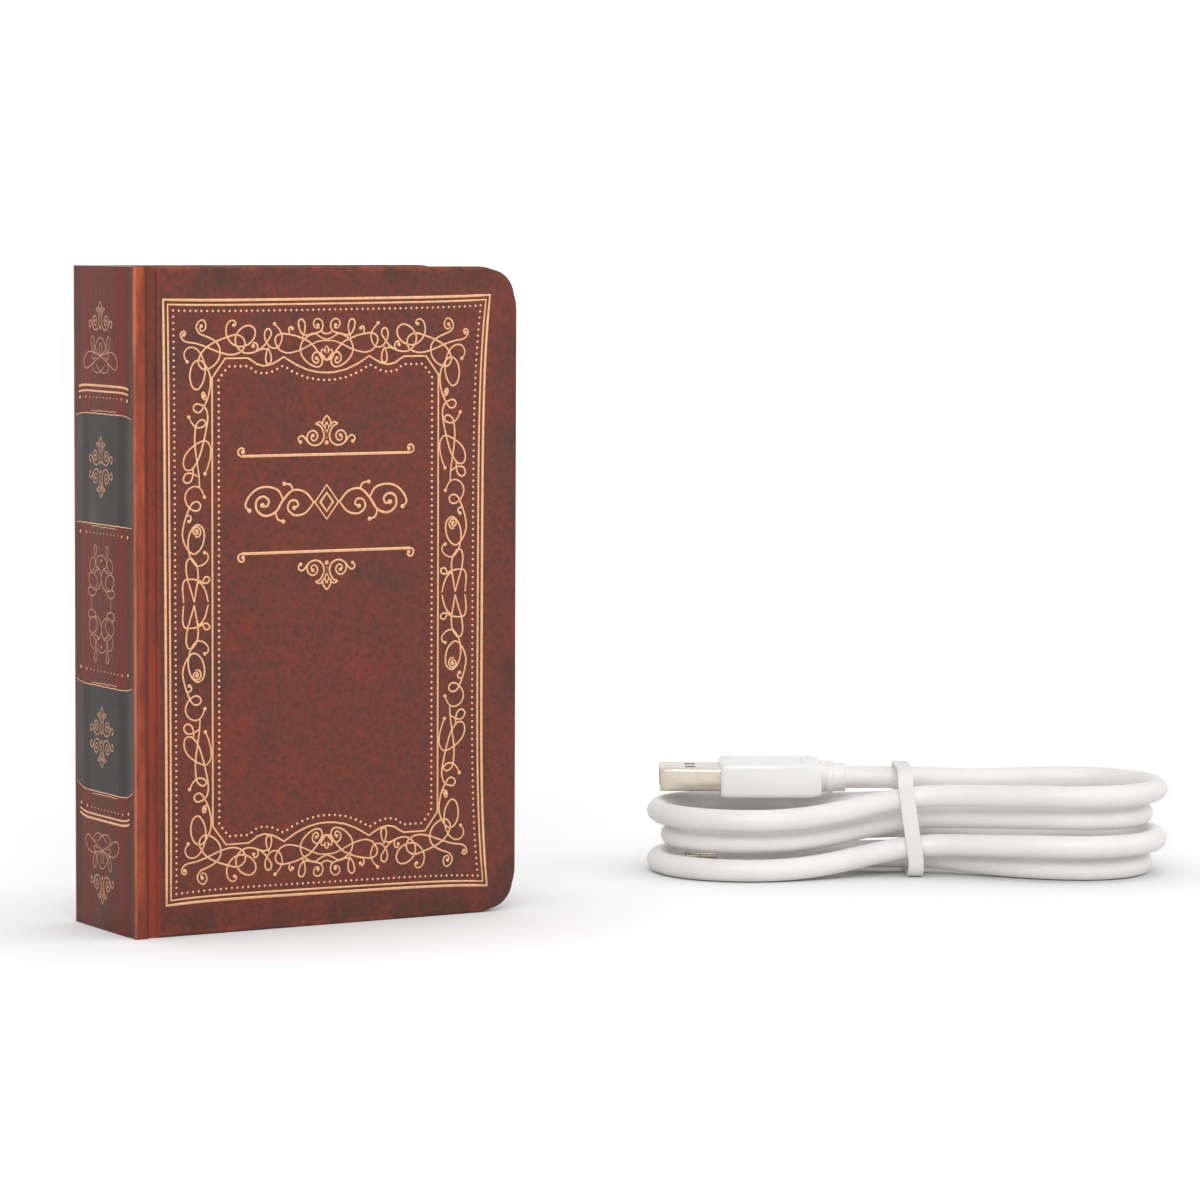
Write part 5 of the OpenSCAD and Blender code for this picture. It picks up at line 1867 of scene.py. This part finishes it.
@dataclass
class Bellows:
    """The pleated paper between the covers, in strips of three pleats, each between two groups."""

    paper_t: float = 0.08
    pleats: int = 3
    rows: int = 4

    def build(self) -> None:
        """Fold every strip, and the end pleats that lie against the covers."""
        for side in Side:
            for group in range(1, BOOK.groups + 1):
                self._strip(side, group)
            self._end(side)

    def _path(self) -> list[tuple[Point2, Point2, float]]:
        """Ridge point, valley point and share of the way to the fore edge, round the whole bellows."""
        b = BOOK
        x0, x1 = b.fold_x, b.width - b.page_inset
        z0, z1 = b.page_inset, b.height - b.page_inset
        depth, r = b.pleat_depth, 1.5
        arm = [x0 + (x1 - depth - x0) * i / 7 for i in range(8)]
        path: list[tuple[Point2, Point2, float]] = []
        for x in arm:
            out = x0 + (x - x0) * (x1 - r - x0) / (x1 - depth - x0) * 0.97
            path.append(((out, z1), (x, z1 - depth), (x - x0) / (x1 - x0)))
        valley_r = 0.6
        for i in range(5):
            a = math.pi / 2 * (1 - i / 4)
            path.append(((x1 - r + r * math.cos(a), z1 - r + r * math.sin(a)),
                         (x1 - depth - valley_r + valley_r * math.cos(a), z1 - depth - valley_r
                          + valley_r * math.sin(a)), 0.82 + 0.04 * i))
        middle = [((x1, z1 - 8.0), (x1 - depth, z1 - depth - 4.0), 1.0),
                  ((x1, z1 - 22.0), (x1 - depth, z1 - depth - 14.0), 1.0),
                  ((x1, (z0 + z1) / 2), (x1 - depth, (z0 + z1) / 2), 1.0)]
        flip = [((px, z0 + z1 - pz), (qx, z0 + z1 - qz), s)
                for (px, pz), (qx, qz), s in reversed(path + middle[:2])]
        return path + middle + flip

    @staticmethod
    def _rest_share(share: float) -> float:
        """Where a point lies at rest so that a smooth bend gives it this share of the turn."""
        return 0.5 - math.sin(math.asin(1 - 2 * share) / 3)

    def _sheet(self, name: str, columns: int, levels: Sequence[tuple[float, float]]) -> Piece:
        """Fold a flat grid into pleats.

        Args:
            name: The piece's name.
            columns: Number of points round the bellows.
            levels: For each row, its place along Y in millimetres and its share from valley to ridge.

        Returns:
            The folded sheet, with its UV map.
        """
        deselect_all()
        bpy.ops.mesh.primitive_grid_add(x_subdivisions=columns - 1, y_subdivisions=len(levels) - 1, size=1,
                                        calc_uvs=False)
        sheet = bpy.context.object
        sheet.name = sheet.data.name = name
        path = self._path()
        shares: list[Point2] = []
        for vert in sheet.data.vertices:
            column = round((vert.co.x + 0.5) * (columns - 1))
            row = round((vert.co.y + 0.5) * (len(levels) - 1))
            (rx, rz), (vx, vz), along = path[column]
            y, share = levels[row]
            wobble = 0.12 * share * noise.noise(Vector((column * 0.37, y * 1.9, 4.0)))
            x = vx + (rx - vx) * share + wobble * (0.4 if along < 1 else 1.0)
            z = vz + (rz - vz) * share
            vert.co = Vector((BOOK.x(x), y * MM, z * MM))
            shares.append((along, share))
        uv = sheet.data.uv_layers.new(name="pleat")
        for loop in sheet.data.loops:
            uv.data[loop.index].uv = shares[loop.vertex_index]
        add_modifier(sheet, "SOLIDIFY", thickness=self.paper_t * MM, offset=0.0, use_even_offset=False)
        take(sheet)
        bpy.ops.object.shade_smooth_by_angle(angle=math.radians(18))
        return sheet

    def _strip(self, side: Side, group: int) -> Piece:
        """Fold the strip from the group before to this one."""
        sign = side.value
        start, end = (group - 1) * BOOK.pitch, group * BOOK.pitch
        levels: list[tuple[float, float]] = []
        steps = self.pleats * 2 * self.rows
        for i in range(steps + 1):
            turned = i / steps
            within = (turned * self.pleats) % 1
            ridge = abs(1 - 2 * within)
            levels.append((sign * (start + (end - start) * self._rest_share(turned)), ridge))
        strip = self._sheet(f"{side.word}_pleat_strip_{group}", len(self._path()), levels)
        dress(strip, Finish.pleat_paper)
        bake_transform(strip)
        nodes = [f"{side.word}_pleats_{group}"]
        if group == 1 and side is Side.FRONT:
            nodes.append("middle_pleats")
        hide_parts(*nodes)
        return strip

    def _end(self, side: Side) -> Piece:
        """Fold the last pleat, whose outer panel lies flat on the cover's lining."""
        y = BOOK.groups * BOOK.pitch
        levels = [(y + 0.16 * i / self.rows, 1 - i / self.rows) for i in range(self.rows + 1)]
        levels += [(y + 0.16 + 0.2 * i / self.rows, i / self.rows) for i in range(1, self.rows + 1)]
        levels += [(y + 0.36 + 0.14 * i / self.rows, 1 - i / self.rows) for i in range(1, self.rows + 1)]
        end = self._sheet(f"{side.word}_end_pleat", len(self._path()),
                          [(side.value * v, s) for v, s in levels])
        dress(end, Finish.pleat_paper)
        return hang(end, f"{side.word}_fan_{BOOK.groups}")


@dataclass
class LightBar:
    """The amber diffuser of the light bar, drawn as a fluted half-round channel."""

    flute: float = 0.14
    columns: int = 96

    def build(self) -> Piece:
        """Model the diffuser.

        Returns:
            The diffuser, riding on the spine's body.
        """
        b = BOOK
        low, high = (b.core_inset + b.cap_l) * MM, (b.height - b.core_inset - b.cap_l) * MM
        deselect_all()
        bpy.ops.mesh.primitive_cylinder_add(vertices=self.columns, radius=b.core_r * MM, depth=high - low,
                                            end_fill_type="NOTHING",
                                            location=(b.x(b.fan_x), 0, (low + high) / 2))
        bar = bpy.context.object
        bar.name = bar.data.name = "amber_diffuser_bar"
        settle(bar)
        middle = Vector((b.x(b.fan_x), 0, 0))
        step = 2 * math.pi / self.columns
        with Bench(bar) as bench:
            for phases, depth in (((1, 3), 0.6), ((2,), 1.0)):
                size = 1 - self.flute / b.core_r * depth
                bench.points(lambda p: round(math.atan2(p.y, p.x - middle.x) / step) % 4 in phases)
                bench.resize((size, size, 1), tuple(middle))
            bpy.ops.mesh.select_all(action="SELECT")
            bpy.ops.mesh.bisect(plane_co=tuple(middle), plane_no=(-1, 0, 0), clear_outer=True)
        add_modifier(bar, "SOLIDIFY", thickness=b.diffuser_t * MM, offset=-1.0, use_even_offset=True)
        finish_mesh(bar, 50)
        dress(bar, Finish.diffuser)
        return hang(bar, "spine", "core_diffuser")


# --- The whole lamp ---


def dress_nodes(frame: dict) -> None:
    """Give every solid that stays its finish, by its slot in the record."""
    slots = {part["node"]: part["material_slot"] for part in frame["record"]["subparts"]}
    for name, node in frame["nodes"].items():
        material = Finish[slots[name]].material
        if not node.material_slots:
            node.data.materials.append(material)
        for place_in_list in node.material_slots:
            place_in_list.material = material


def corners(pair: tuple[Vector, Vector]) -> list[list[float]]:
    """Two corners as plain lists of numbers."""
    return [[float(v) for v in corner] for corner in pair]


def main() -> None:
    """Build the lamp and everything round it, in order."""
    logging.basicConfig(level=logging.INFO, format="%(message)s")
    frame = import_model()
    scene = bpy.context.scene
    scene.view_settings.view_transform = "Standard"
    Studio().build()
    Cable().build()
    dress_nodes(frame)
    for side in Side:
        Cover(side).build()
    Spine().build()
    CoverTooling().build()
    SpineTooling().build()
    Bellows().build()
    LightBar().build()


if __name__ == "__main__":
    main()
